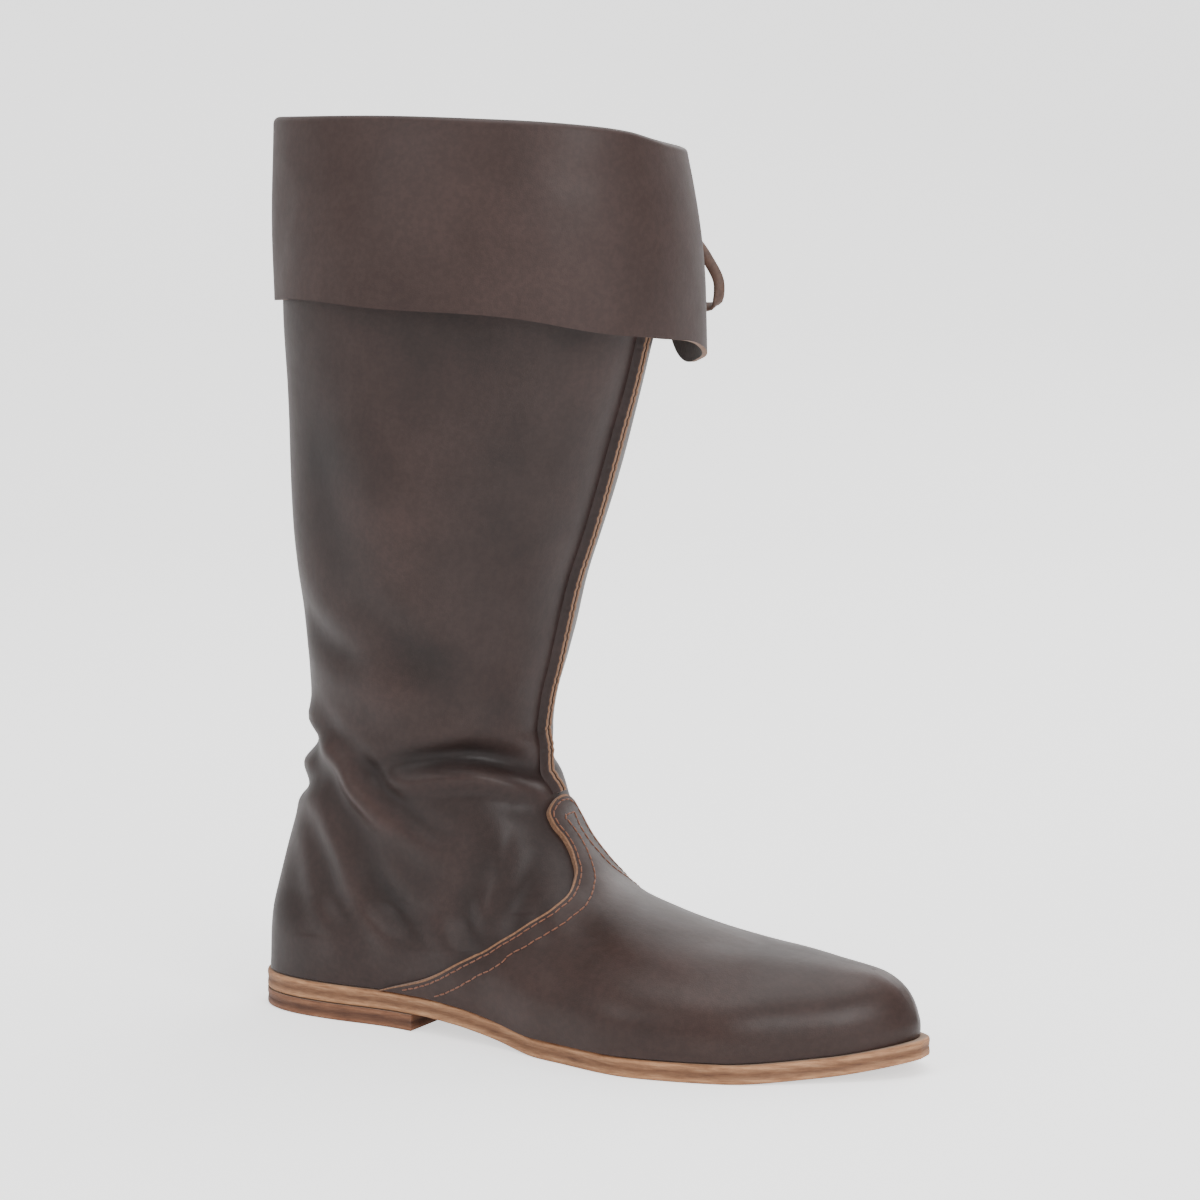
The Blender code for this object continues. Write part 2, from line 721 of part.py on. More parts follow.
# Routes of the bow's strands, from the knot's centre
LOOP_FRONT = [
    (0.0073, 0.0023, 0.0023),
    (0.020, 0.010, 0.0010),
    (0.036, 0.014, -0.008),
    (0.052, 0.013, -0.021),
    (0.063, 0.011, -0.033),
    (0.0685, 0.010, -0.043),
    (0.067, 0.010, -0.051),
    (0.059, 0.011, -0.052),
    (0.046, 0.012, -0.042),
    (0.030, 0.011, -0.026),
    (0.018, 0.007, -0.013),
    (0.0072, 0.0015, -0.0034),
]
LOOP_DOWN = [
    (-0.0048, 0.0022, -0.0053),
    (-0.008, 0.010, -0.020),
    (-0.012, 0.014, -0.038),
    (-0.015, 0.015, -0.058),
    (-0.0145, 0.0155, -0.076),
    (-0.010, 0.016, -0.084),
    (-0.0055, 0.0155, -0.076),
    (-0.005, 0.015, -0.058),
    (-0.003, 0.013, -0.038),
    (-0.001, 0.010, -0.020),
    (-0.0004, 0.0032, -0.0062),
]
END_LONG = [
    (-0.0074, 0.0022, -0.0022),
    (-0.016, 0.009, -0.012),
    (-0.020, 0.0135, -0.030),
    (-0.0215, 0.0140, -0.055),
    (-0.0225, 0.0120, -0.085),
    (-0.0235, 0.0095, -0.115),
    (-0.0250, 0.0080, -0.145),
]
END_SHORT = [
    (0.0040, 0.0029, -0.0054),
    (0.008, 0.011, -0.020),
    (0.011, 0.0145, -0.040),
    (0.013, 0.0150, -0.065),
    (0.0145, 0.0125, -0.090),
    (0.0155, 0.0110, -0.108),
]


def smooth_route(points, count):
    """Points at even steps on a smooth curve through the route's own points."""
    points = np.array(points)
    steps = np.linalg.norm(np.diff(points, axis=0), axis=1)
    knots = np.concatenate([[0], np.cumsum(steps)])
    slopes = np.gradient(points, knots, axis=0)
    at = np.linspace(0, knots[-1], count)
    row = np.clip(np.searchsorted(knots, at, side="right") - 1, 0, len(steps) - 1)
    step = steps[row][:, None]
    part = (at - knots[row])[:, None] / step
    rest = 1 - part
    low = rest**2 * ((1 + 2 * part) * points[row] + part * step * slopes[row])
    high = part**2 * ((3 - 2 * part) * points[row + 1] - rest * step * slopes[row + 1])
    return low + high


def make_cord(name, route, material):
    points = smooth_route(route, 2 + int(len(route) * 1.6)) + knot_centre()
    curve = bpy.data.curves.new(name, "CURVE")
    curve.dimensions = "3D"
    curve.bevel_depth = CORD_RADIUS
    curve.bevel_resolution = 2
    curve.use_fill_caps = True
    spline = curve.splines.new("POLY")
    spline.points.add(len(points) - 1)
    for point, place in zip(spline.points, points):
        point.co = (*place, 1)
    curve.materials.append(material)
    cord = bpy.data.objects.new(name, curve)
    bpy.context.scene.collection.objects.link(cord)
    return cord


def main():
    for old in list(bpy.data.objects):
        bpy.data.objects.remove(old, do_unlink=True)
    leather = (0.060, 0.036, 0.030)
    raw = (0.33, 0.16, 0.07)
    tan = (0.40, 0.22, 0.11)
    make_outsole(make_material("sole_leather", tan, 0.6))
    make_heel_lift(make_material("lift_leather", (0.33, 0.14, 0.06), 0.6))
    make_insole(make_material("insole_leather", tan, 0.7))
    make_upper(make_material("upper_leather", leather, 0.42))
    make_vamp(make_material("vamp_leather", leather, 0.40))
    make_cuff(make_material("cuff_leather", leather, 0.48))
    make_front_seam(make_material("raw_edge", raw, 0.7))
    for number in range(CROSSES):
        make_crossing(number, make_material(f"thong_{number + 1}", leather, 0.5))
    make_knot(make_material("knot_leather", leather, 0.5))
    cords = (
        ("lace_loop_front", LOOP_FRONT),
        ("lace_loop_down", LOOP_DOWN),
        ("lace_end_long", END_LONG),
        ("lace_end_short", END_SHORT),
    )
    for name, route in cords:
        make_cord(name, route, make_material(name, leather, 0.5))


main()
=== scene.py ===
import math

import bpy
import numpy as np
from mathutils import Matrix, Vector


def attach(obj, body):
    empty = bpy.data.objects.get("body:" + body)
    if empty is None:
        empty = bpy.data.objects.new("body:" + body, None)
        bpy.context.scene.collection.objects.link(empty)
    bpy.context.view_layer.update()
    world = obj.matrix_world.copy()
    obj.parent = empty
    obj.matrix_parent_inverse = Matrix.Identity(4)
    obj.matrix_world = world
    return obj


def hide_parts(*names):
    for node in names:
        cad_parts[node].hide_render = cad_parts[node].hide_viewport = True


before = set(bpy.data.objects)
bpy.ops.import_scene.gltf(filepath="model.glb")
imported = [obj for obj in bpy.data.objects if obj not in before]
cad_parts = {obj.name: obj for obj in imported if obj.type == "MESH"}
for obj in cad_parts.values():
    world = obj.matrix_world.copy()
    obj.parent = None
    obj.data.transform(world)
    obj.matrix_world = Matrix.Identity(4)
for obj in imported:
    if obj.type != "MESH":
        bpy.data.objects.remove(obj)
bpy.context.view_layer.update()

# Camera at the photograph's angle, from the toe side of the boot's inner side
camera_data = bpy.data.cameras.new("camera")
camera_data.lens = 121
camera_data.sensor_width = 36
camera = bpy.data.objects.new("camera", camera_data)
camera.location = (0.846, -1.413, 0.372)
aim = Vector((0.111, 0.0085, 0.1735))
camera.rotation_euler = (aim - camera.location).to_track_quat("-Z", "Y").to_euler()
bpy.context.scene.collection.objects.link(camera)
bpy.context.scene.camera = camera

# Sizes, in metres
SOLE_LENGTH = 0.296
BALL_WIDTH = 0.110
HEEL_SETBACK = 0.036
HEEL_END_RADIUS = 0.033
TOE_END_RADIUS = 0.013
SOLE_THICKNESS = 0.0075
HEEL_LIFT_HEIGHT = 0.007
HEEL_LIFT_LENGTH = 0.085
TOE_SPRING = 0.006
EDGE_BEVEL = 0.0006
WALL = 0.002
SIDE_LEDGE = 0.0015
THROAT_HEIGHT = 0.121
BOOT_HEIGHT = 0.366
RIM_DROP = 0.0125
SHAFT_DEPTH = 0.165
SHAFT_WIDTH = 0.122
SIDE_BULGE = 0.0035
CLEARANCE = 0.0003
SEAT = 0.0006
VAMP_THICKNESS = 0.0014
VAMP_BELOW_THROAT = 0.026
SEAM_WIDTH = 0.0055
SEAM_HEIGHT = 0.0025
SEAM_GROOVE = 0.0012
CUFF_DROP = 0.073
CUFF_FLARE = 0.008
CUFF_CORNER = 0.020
FOLD_GAP = 0.0016
SLIT_BOTTOM = 0.028
SLIT_GAP = 0.004
ANKLE_GAP = 0.009
LACE_WIDTH = 0.0045
LACE_THICKNESS = 0.0016
CROSSES = 7
LOWEST_CROSS = 0.041
CROSS_SPACING = 0.0475
CROSS_WIDTH = 0.020
CROSS_HEIGHT = 0.024
KNOT_SIZE = (0.016, 0.011, 0.014)
KNOT_HEIGHT = 0.340

SOLE_PLAN = np.array([
    # share of the sole's length, then half width and sideways shift as shares of the ball's width
    (0.00, 0.000, 0.000), (0.06, 0.250, 0.000), (0.14, 0.300, 0.000), (0.26, 0.310, -0.010),
    (0.40, 0.345, -0.050), (0.54, 0.432, -0.085), (0.68, 0.500, -0.100), (0.80, 0.440, -0.095),
    (0.90, 0.290, -0.075), (0.96, 0.175, -0.060), (1.00, 0.000, -0.050),
])
SOLE_RISE = np.array([
    # share of the sole's length, then the underside's height as shares of heel lift and toe spring
    (0.00, 1.00, 0.0), (0.30, 1.00, 0.0), (0.36, 0.86, 0.0), (0.43, 0.45, 0.0),
    (0.51, 0.00, 0.0), (0.79, 0.00, 0.0), (0.90, 0.00, 0.3), (1.00, 0.00, 1.0),
])
INSTEP = np.array([
    # share of the rise from toe to throat, and of the sole's length
    (0.000, 0.979), (0.051, 0.980), (0.108, 0.973), (0.160, 0.961), (0.209, 0.931),
    (0.247, 0.849), (0.284, 0.756), (0.324, 0.678), (0.371, 0.610), (0.423, 0.558),
    (0.481, 0.528), (0.547, 0.506), (0.608, 0.487), (0.668, 0.470), (0.728, 0.455),
    (0.791, 0.444), (0.860, 0.433), (0.930, 0.424), (1.000, 0.4205),
])
SHAFT_FRONT = np.array([
    # share of the rise from throat to rim, and of the way forward from throat to rim
    (0.000, 0.000), (0.057, 0.036), (0.118, 0.109), (0.180, 0.182), (0.250, 0.266),
    (0.322, 0.378), (0.404, 0.500), (0.486, 0.615), (0.567, 0.718), (0.629, 0.782),
    (0.731, 0.882), (0.873, 0.973), (1.000, 1.000),
])
LEG = np.array([
    # share of the boot's height, back line's way forward by the sole's length, half width by the shaft's
    (0.040, 0.000, 0.557), (0.109, 0.007, 0.600), (0.169, 0.025, 0.618), (0.246, 0.053, 0.636),
    (0.290, 0.070, 0.648), (0.369, 0.074, 0.706), (0.451, 0.070, 0.787), (0.546, 0.058, 0.869),
    (0.656, 0.050, 0.935), (0.820, 0.045, 0.992), (1.000, 0.045, 1.000),
])
SLIT = np.array([
    # share of the boot's height, place along the sole's length, share of the ankle's extra gap
    (0.000, 0.190, 0.0), (0.077, 0.203, 0.0), (0.170, 0.230, 0.3), (0.285, 0.256, 1.0),
    (0.400, 0.277, 0.3), (0.546, 0.297, 0.0), (0.700, 0.317, 0.0), (0.850, 0.329, 0.0),
    (1.000, 0.334, 0.0),
])
VAMP_EDGE = np.array([
    # share of the rise from sole to apex, and of the sole's length
    (0.00, 0.213), (0.035, 0.243), (0.12, 0.313), (0.25, 0.386), (0.34, 0.434), (0.44, 0.475),
    (0.52, 0.506), (0.58, 0.515), (0.65, 0.510), (0.72, 0.498), (0.80, 0.481), (0.88, 0.462),
    (0.94, 0.4525), (1.00, 0.450),
])
RIM = np.array([
    # degrees round from the front, and share of the rim's drop
    (-180, 0.08), (-135, 0.04), (-100, 0.00), (-60, 0.12), (-35, 0.30), (-20, 0.48), (-8, 0.72),
    (5, 0.90), (20, 1.00), (45, 0.92), (85, 0.62), (130, 0.30), (180, 0.08),
])
CUFF_SHAPE = np.array([
    # degrees round from the front, then drop and flare as shares of the cuff's own
    (-250, 1.21, 0.90), (-225, 1.05, 0.40), (-200, 0.98, 0.05), (-180, 0.985, 0.00),
    (-140, 0.99, 0.30), (-90, 1.00, 1.00), (-30, 1.07, 0.80), (0, 1.06, 0.70),
    (30, 1.14, 0.95), (55, 1.27, 1.20),
])
CUFF_ENDS = {"front rim": 85, "front hem": 52, "rear rim": 94, "rear hem": 112}


def ease(at, table, column=1):
    """A smooth curve through a table's rows that never swings past them."""
    knots = table[:, 0]
    values = table[:, column]
    steps = np.diff(knots)
    rises = np.diff(values) / steps
    slopes = np.zeros(len(knots))
    slopes[0] = rises[0]
    slopes[-1] = rises[-1]
    before = rises[:-1]
    after = rises[1:]
    same = before * after > 0
    near = (2 * steps[1:] + steps[:-1])[same]
    far = (steps[1:] + 2 * steps[:-1])[same]
    slopes[1:-1][same] = (near + far) / (near / before[same] + far / after[same])
    at = np.asarray(at, float)
    row = np.clip(np.searchsorted(knots, at, side="right") - 1, 0, len(steps) - 1)
    step = steps[row]
    part = np.clip((at - knots[row]) / step, 0, 1)
    rest = 1 - part
    low = rest**2 * ((1 + 2 * part) * values[row] + part * step * slopes[row])
    high = part**2 * ((3 - 2 * part) * values[row + 1] - rest * step * slopes[row + 1])
    return low + high


def fade(value, start, end):
    """0 before start, 1 after end, smooth between."""
    part = np.clip((value - start) / (end - start), 0, 1)
    return part * part * (3 - 2 * part)


def outline(share, ball_width):
    """Half width and sideways shift of the last at a share of its length, round at both ends."""
    share = np.clip(share, 0, 1)
    knots = SOLE_PLAN[:, 0]
    fullness = np.empty(len(knots))
    fullness[1:-1] = SOLE_PLAN[1:-1, 1] * ball_width / (2 * np.sqrt(knots[1:-1] * (1 - knots[1:-1])))
    fullness[0] = math.sqrt(2 * HEEL_END_RADIUS * SOLE_LENGTH) / 2
    fullness[-1] = math.sqrt(2 * TOE_END_RADIUS * SOLE_LENGTH) / 2
    full = ease(share, np.column_stack([knots, fullness]))
    half = full * 2 * np.sqrt(share * (1 - share))
    return half, ease(share, SOLE_PLAN, 2) * ball_width


def along_sole(share):
    return share * SOLE_LENGTH - HEEL_SETBACK


def sole_under(x):
    share = (x + HEEL_SETBACK) / SOLE_LENGTH
    return HEEL_LIFT_HEIGHT * ease(share, SOLE_RISE, 1) + TOE_SPRING * ease(share, SOLE_RISE, 2)


def sole_top(x):
    return sole_under(x) + SOLE_THICKNESS


HEEL_END = SIDE_LEDGE - HEEL_SETBACK
TOE_END = along_sole(INSTEP[0, 1])
TOE_BASE = float(sole_top(TOE_END)) + SEAT
LEVEL_ABOVE_FOOT = 0.3 * THROAT_HEIGHT
LEVEL_UNDER_RIM = 0.8 * BOOT_HEIGHT
WALL_TOP = BOOT_HEIGHT - WALL - FOLD_GAP
THROAT_X = along_sole(INSTEP[-1, 1])
VAMP_APEX = THROAT_HEIGHT - VAMP_BELOW_THROAT


def back_line(level):
    return HEEL_END + SOLE_LENGTH * ease(level / BOOT_HEIGHT, LEG, 1)


def front_line(level):
    """How far forward the upper reaches: over the toe and instep to the throat, then up the shaft."""
    rise = (level - TOE_BASE) / (THROAT_HEIGHT - TOE_BASE)
    instep = along_sole(ease(rise, INSTEP))
    rise = (level - THROAT_HEIGHT) / (BOOT_HEIGHT - THROAT_HEIGHT)
    rim_front = float(back_line(BOOT_HEIGHT)) + SHAFT_DEPTH
    shaft = THROAT_X + (rim_front - THROAT_X) * ease(rise, SHAFT_FRONT)
    return np.where(level < THROAT_HEIGHT, instep, shaft)


RIDGE_LEVELS = np.linspace(TOE_BASE, THROAT_HEIGHT, 400)


def ridge_height(x):
    """Height of the instep's ridge over a point, rising steeply behind the throat."""
    reach = np.minimum.accumulate(front_line(RIDGE_LEVELS))
    ridge = np.interp(x, reach[::-1], RIDGE_LEVELS[::-1])
    return ridge + 6.0 * np.maximum(THROAT_X - x, 0)


def rim_height(angle):
    degrees = (np.degrees(angle) + 180) % 360 - 180
    return BOOT_HEIGHT - RIM_DROP * ease(degrees, RIM)


def upper_point(level, angle):
    """The upper's outer face. A level is a slice through the boot, settled onto the sole below and tilted
    to the rim above. The angle runs round the slice: 0 in front, a quarter turn on the laced side."""
    level = np.asarray(level, float)
    back = back_line(level)
    front = front_line(level)
    x = (back + front) / 2 + (front - back) / 2 * np.cos(angle)
    feather = sole_top(x) + SEAT
    settled = feather + (level - TOE_BASE) * (LEVEL_ABOVE_FOOT - feather) / (LEVEL_ABOVE_FOOT - TOE_BASE)
    rim = rim_height(angle) - (BOOT_HEIGHT - WALL_TOP)
    stretch = (rim - LEVEL_UNDER_RIM) / (WALL_TOP - LEVEL_UNDER_RIM)
    tilted = LEVEL_UNDER_RIM + (level - LEVEL_UNDER_RIM) * stretch
    z = np.where(level < LEVEL_ABOVE_FOOT, settled, np.where(level > LEVEL_UNDER_RIM, tilted, level))
    half, shift = outline((x - back) / (np.maximum(TOE_END, front) - back), BALL_WIDTH - 2 * SIDE_LEDGE)
    ridge = np.maximum(ridge_height(x), feather + SOLE_THICKNESS)
    height = np.clip((z - feather) / (ridge - feather), 0, 1)
    bulge = SIDE_BULGE * np.sin(math.pi * np.clip((z - feather) / LEVEL_ABOVE_FOOT, 0, 1)) ** 1.6
    foot = (half + bulge * np.abs(np.sin(angle))) * np.sqrt(1 - height**2.2)
    leg = SHAFT_WIDTH / 2 * ease(level / BOOT_HEIGHT, LEG, 2) * np.abs(np.sin(angle)) ** 0.92
    up = fade(z, LEVEL_ABOVE_FOOT, THROAT_HEIGHT)
    side = np.where(np.sin(angle) < 0, -1.0, 1.0)
    y = shift * (1 - up) + side * (foot * (1 - up) + leg * up)
    return np.stack(np.broadcast_arrays(x, y, z), axis=-1)


def unit(vectors):
    return vectors / np.maximum(np.linalg.norm(vectors, axis=-1, keepdims=True), 1e-12)


def upper_normal(level, angle):
    """Outward direction of the upper, level at its two edges so that they stay flat."""
    level = np.asarray(level, float)
    turn = 2e-3
    lift = 1e-4
    round_it = upper_point(level, angle + turn) - upper_point(level, angle - turn)
    up_it = upper_point(level + lift, angle) - upper_point(level - lift, angle)
    normal = np.cross(round_it, up_it)
    edge = 2 * WALL
    normal[..., 2] *= np.clip((level - TOE_BASE) / edge, 0, 1) * np.clip((WALL_TOP - level) / edge, 0, 1)
    return unit(normal)


def angle_at(level, x):
    """The angle on the laced side where a slice passes a place along the boot."""
    back = back_line(level)
    front = front_line(level)
    return np.arccos(np.clip((x - (back + front) / 2) / ((front - back) / 2), -1, 1))


def slit_angles(level):
    """Front and rear edge of the slit at a level."""
    share = level / BOOT_HEIGHT
    x = along_sole(ease(share, SLIT, 1))
    gap = SLIT_GAP + (ANKLE_GAP - SLIT_GAP) * ease(share, SLIT, 2)
    return angle_at(level, x + gap / 2), angle_at(level, x - gap / 2)


def spaced_levels(start, end, count, shaft_weight=0.5):
    """Levels at even steps along the front line, with wider steps up the shaft."""
    fine = np.linspace(start, end, 800)
    reach = front_line(fine)
    step = np.hypot(np.diff(reach), np.diff(fine))
    step = np.where(fine[1:] > THROAT_HEIGHT, shaft_weight * step, step)
    run = np.concatenate([[0], np.cumsum(step)])
    return np.interp(np.linspace(0, run[-1], count), run, fine)


# Creases, placed from the photograph: the worn ankle and the back of the heel are folded most
FOLDS = [
    # height, below zero for a trough, and half width in millimetres, then level in millimetres and
    # degrees round from the front along it, below zero on the inner side
    (-3.4, 5.0, [(105, -98), (109, -80), (112, -62), (113, -47), (110, -27), (105, -7), (104, 8)]),
    (1.3, 4.5, [(100, -96), (103, -75), (105, -50), (101, -30), (97, -14)]),
    (-0.9, 4.0, [(96, -92), (99, -70), (99, -49), (94, -25)]),
    (2.8, 5.5, [(122, -146), (116, -132), (107, -114), (97, -106), (88, -94), (76, -78)]),
    (-2.2, 5.0, [(112, -112), (101, -98), (91, -87), (80, -72)]),
    (1.9, 6.5, [(97, -144), (80, -123), (65, -115), (50, -116), (30, -121)]),
    (-1.5, 6.0, [(87, -112), (66, -104), (50, -105), (34, -110)]),
    (1.2, 6.5, [(80, -144), (61, -129), (42, -129), (24, -134)]),
    (-1.0, 6.0, [(76, -130), (56, -122), (38, -124)]),
    (-3.0, 5.0, [(119, -122), (114, -142), (112, -165), (112, -190), (114, -215), (112, -238)]),
    (-1.8, 4.0, [(97, -134), (94, -155), (93, -180), (96, -205)]),
    (1.6, 6.0, [(104, -150), (103, -180), (104, -210)]),
    (-1.7, 6.5, [(72, -50), (60, -68), (46, -86), (33, -99)]),
    (1.1, 6.5, [(75, -40), (64, -56), (52, -74), (41, -88)]),
    (-1.2, 6.0, [(77, -30), (66, -44), (54, -62), (46, -74)]),
    (-2.0, 9.0, [(168, -92), (158, -80), (146, -62)]),
    (-1.6, 7.0, [(168, -140), (160, -128), (152, -108), (146, -92)]),
    (1.2, 9.0, [(150, -110), (138, -88), (130, -60)]),
    # The two broad rows down the shaft, a trough and a ridge, also give it a band of painted shade and a
    # stripe of painted sheen
    (-1.5, 15.0, [(264, -126), (228, -121), (192, -114), (162, -108)]),
    (0.8, 14.0, [(262, -92), (226, -86), (190, -80), (160, -76)]),
    (-2.4, 5.0, [(112, 84), (115, 62), (112, 38), (106, 14)]),
    (1.6, 5.0, [(101, 84), (95, 64), (88, 46)]),
    (-1.4, 4.0, [(90, 82), (83, 64), (78, 50)]),
    (2.2, 5.0, [(100, 110), (88, 124), (72, 132), (54, 129)]),
    (-1.5, 4.0, [(86, 112), (72, 121), (56, 119)]),
    (-1.4, 4.0, [(66, 54), (56, 68), (48, 80)]),
    (-1.6, 9.0, [(165, 66), (154, 52), (144, 38)]),
    (-1.3, 8.0, [(170, 136), (158, 124), (150, 108)]),
    (-0.7, 9.0, [(47, -30), (44, -16), (43, 0), (44, 16), (47, 30)]),
    (0.5, 9.0, [(40, -26), (37, -12), (36, 0), (37, 12), (40, 26)]),
]


def fold_lines():
    lines = []
    for height, width, knots in FOLDS:
        knots = np.array(knots, float)
        at = np.linspace(0, len(knots) - 1, 5 * len(knots))
        order = np.arange(len(knots))
        level = ease(at, np.column_stack([order, knots[:, 0]])) / 1000
        angle = np.radians(ease(at, np.column_stack([order, knots[:, 1]])))
        lines.append((height / 1000, width / 1000, upper_point(level, angle)))
    return lines


FOLD_LINES = fold_lines()


def relief(level, angle):
    """How far the worn leather stands out from its smooth form: folds, slow waves and the slit's lips."""
    places = upper_point(level, angle)
    shape = places.shape[:-1]
    places = places.reshape(-1, 3)
    level = np.broadcast_to(level, shape).reshape(-1)
    angle = np.broadcast_to(angle, shape).reshape(-1)
    total = np.zeros(len(places))
    for height, width, line in FOLD_LINES:
        reach = 4 * width
        near = ((places > line.min(axis=0) - reach) & (places < line.max(axis=0) + reach)).all(axis=1)
        if not near.any():
            continue
        start = line[:-1]
        step = line[1:] - start
        from_start = places[near][:, None] - start
        part = np.clip((from_start * step).sum(-1) / (step * step).sum(-1), 0, 1)
        apart = np.linalg.norm(from_start - part[..., None] * step, axis=-1)
        nearest = apart.argmin(axis=1)
        row = np.arange(len(nearest))
        apart = apart[row, nearest] / width
        along = (nearest + part[row, nearest]) / len(start)
        taper = np.sin(math.pi * (0.05 + 0.9 * along)) ** 0.7
        total[near] += height * taper * (np.exp(-(apart**2)) - 0.35 * np.exp(-((apart - 2.0) ** 2)))
    x, y, z = (places * 1000).T
    slow = np.sin(x / 17 + z / 31 + 0.6) * np.sin(z / 26 - y / 21) + 0.7 * np.sin(x / 29 - z / 19 + y / 23)
    total += 0.00045 * slow * (0.35 + 0.65 * fade(level, 0.05, 0.09))
    edge_front, edge_rear = slit_angles(level)
    round_here = np.mod(angle, 2 * math.pi)
    behind = (round_here - edge_rear) * 0.045
    ahead = (edge_front - round_here) * 0.045
    lip = np.where(behind > -0.002, np.exp(-((np.maximum(behind, 0) / 0.010) ** 2)), 0)
    total += 0.0028 * lip * np.exp(-(((level - 0.110) / 0.020) ** 2)) * (behind > -0.002)
    lip = np.where((ahead > -0.002) & (round_here < math.pi), np.exp(-((ahead / 0.007) ** 2)), 0)
    total += 0.0009 * lip * fade(level, 0.05, 0.08)
    total *= fade(level, TOE_BASE + 0.001, TOE_BASE + 0.016) * (1 - fade(level, 0.300, 0.335))
    return total.reshape(shape)


def dressed(level, angle, out=0.0):
    """A point on the worn leather, out being its distance from the face."""
    level, angle = np.broadcast_arrays(np.asarray(level, float), np.asarray(angle, float))
    away = relief(level, angle) + out
    return upper_point(level, angle) + away[..., None] * upper_normal(level, angle)


# Materials are built from nodes on object coordinates, so grain keeps its real size
def start_material(name, colour, roughness, sheen=0.0, coat=0.0):
    material = bpy.data.materials.new(name)
    material.use_nodes = True
    nodes = material.node_tree.nodes
    shader = nodes["Principled BSDF"]
    shader.inputs["Base Color"].default_value = (*colour, 1)
    shader.inputs["Roughness"].default_value = roughness
    shader.inputs["Sheen Weight"].default_value = sheen
    shader.inputs["Coat Weight"].default_value = coat
    shader.inputs["Coat Roughness"].default_value = 0.35
    return material


def add(material, kind, **settings):
    node = material.node_tree.nodes.new(kind)
    for key, value in settings.items():
        if key in node.inputs:
            node.inputs[key].default_value = value
        elif key.replace("_", " ") in node.inputs:
            node.inputs[key.replace("_", " ")].default_value = value
        else:
            setattr(node, key, value)
    return node


def join(material, source, target):
    material.node_tree.links.new(source, target)


def noise(material, scale, detail=4.0, rough=0.55, stretch=(1, 1, 1)):
    place = add(material, "ShaderNodeTexCoord")
    mapping = add(material, "ShaderNodeMapping")
    mapping.inputs["Scale"].default_value = stretch
    texture = add(material, "ShaderNodeTexNoise", Scale=scale, Detail=detail, Roughness=rough)
    join(material, place.outputs["Object"], mapping.inputs["Vector"])
    join(material, mapping.outputs["Vector"], texture.inputs["Vector"])
    return texture.outputs["Fac"]


def cells(material, scale):
    place = add(material, "ShaderNodeTexCoord")
    texture = add(material, "ShaderNodeTexVoronoi", Scale=scale)
    texture.feature = "DISTANCE_TO_EDGE"
    join(material, place.outputs["Object"], texture.inputs["Vector"])
    return texture.outputs["Distance"]


def ramp(material, source, stops):
    node = add(material, "ShaderNodeValToRGB")
    elements = node.color_ramp.elements
    while len(elements) < len(stops):
        elements.new(0.5)
    for element, (place, colour) in zip(elements, stops):
        element.position = place
        element.color = (*colour, 1)
    join(material, source, node.inputs["Fac"])
    return node.outputs["Color"]


def blended(material, kind, amount, first, second):
    node = add(material, "ShaderNodeMix", data_type="RGBA", blend_type=kind)
    if isinstance(amount, float):
        node.inputs[0].default_value = amount
    else:
        join(material, amount, node.inputs[0])
    for socket, value in ((node.inputs[6], first), (node.inputs[7], second)):
        if isinstance(value, tuple):
            socket.default_value = (*value, 1)
        else:
            join(material, value, socket)
    return node.outputs[2]


def worked(material, kind, first, second):
    node = add(material, "ShaderNodeMath", operation=kind)
    for socket, value in ((node.inputs[0], first), (node.inputs[1], second)):
        if isinstance(value, (int, float)):
            socket.default_value = value
        else:
            join(material, value, socket)
    return node.outputs[0]


def shader_of(material):
    return material.node_tree.nodes["Principled BSDF"]


def bumped(material, source, strength, distance, under=None):
    node = add(material, "ShaderNodeBump", Strength=strength, Distance=distance)
    join(material, source, node.inputs["Height"])
    if under is not None:
        join(material, under, node.inputs["Normal"])
    return node.outputs["Normal"]


def attribute(material, name):
    node = add(material, "ShaderNodeAttribute", attribute_name=name)
    return node.outputs["Fac"]


def smooth_leather(name, dark, light, roughness):
    """Waxed dark leather: cloudy brown, fine pebbled grain, patchily dull; painted shade in the folds'
    troughs, their ridges paler with rubbed wear and painted sheen.
    """
    material = start_material(name, light, roughness, coat=0.05)
    shader_of(material).inputs["Specular IOR Level"].default_value = 0.30
    clouds = ramp(material, noise(material, 26, 5), [(0.32, dark), (0.68, light)])
    flecks = ramp(material, noise(material, 420, 3), [(0.40, (0.80, 0.80, 0.80)), (0.62, (1.08, 1.08, 1.08))])
    colour = blended(material, "MULTIPLY", 0.55, clouds, flecks)
    # Painted shade darkens the folds' troughs; the ridges are paler, partly rubbed wear and partly painted
    # sheen
    crease_shade_and_ridge_rub = ramp(material, attribute(material, "height"), [
        (0.0, (0.45, 0.42, 0.42)), (0.46, (0.97, 0.97, 0.97)),
        (0.54, (1.0, 1.0, 1.0)), (1.0, (1.45, 1.38, 1.34)),
    ])
    colour = blended(material, "MULTIPLY", 1.0, colour, crease_shade_and_ridge_rub)
    join(material, colour, shader_of(material).inputs["Base Color"])
    dull = worked(material, "MULTIPLY_ADD", noise(material, 60, 4), 0.22)
    dull.node.inputs[2].default_value = roughness - 0.11
    join(material, dull, shader_of(material).inputs["Roughness"])
    pebbles = worked(material, "MINIMUM", cells(material, 1150), 0.22)
    grain = bumped(material, pebbles, 0.30, 0.00022)
    grain = bumped(material, noise(material, 210, 5), 0.20, 0.0005, grain)
    join(material, grain, shader_of(material).inputs["Normal"])
    return material


def rough_leather(name, dark, light, scale=500, depth=0.0003):
    """Cut or flesh-side leather: matt and fibrous."""
    material = start_material(name, light, 0.85, sheen=0.15)
    colour = ramp(material, noise(material, scale, 5, 0.7), [(0.30, dark), (0.70, light)])
    join(material, colour, shader_of(material).inputs["Base Color"])
    fibres = bumped(material, noise(material, 2 * scale, 3), 0.5, depth)
    join(material, fibres, shader_of(material).inputs["Normal"])
    return material


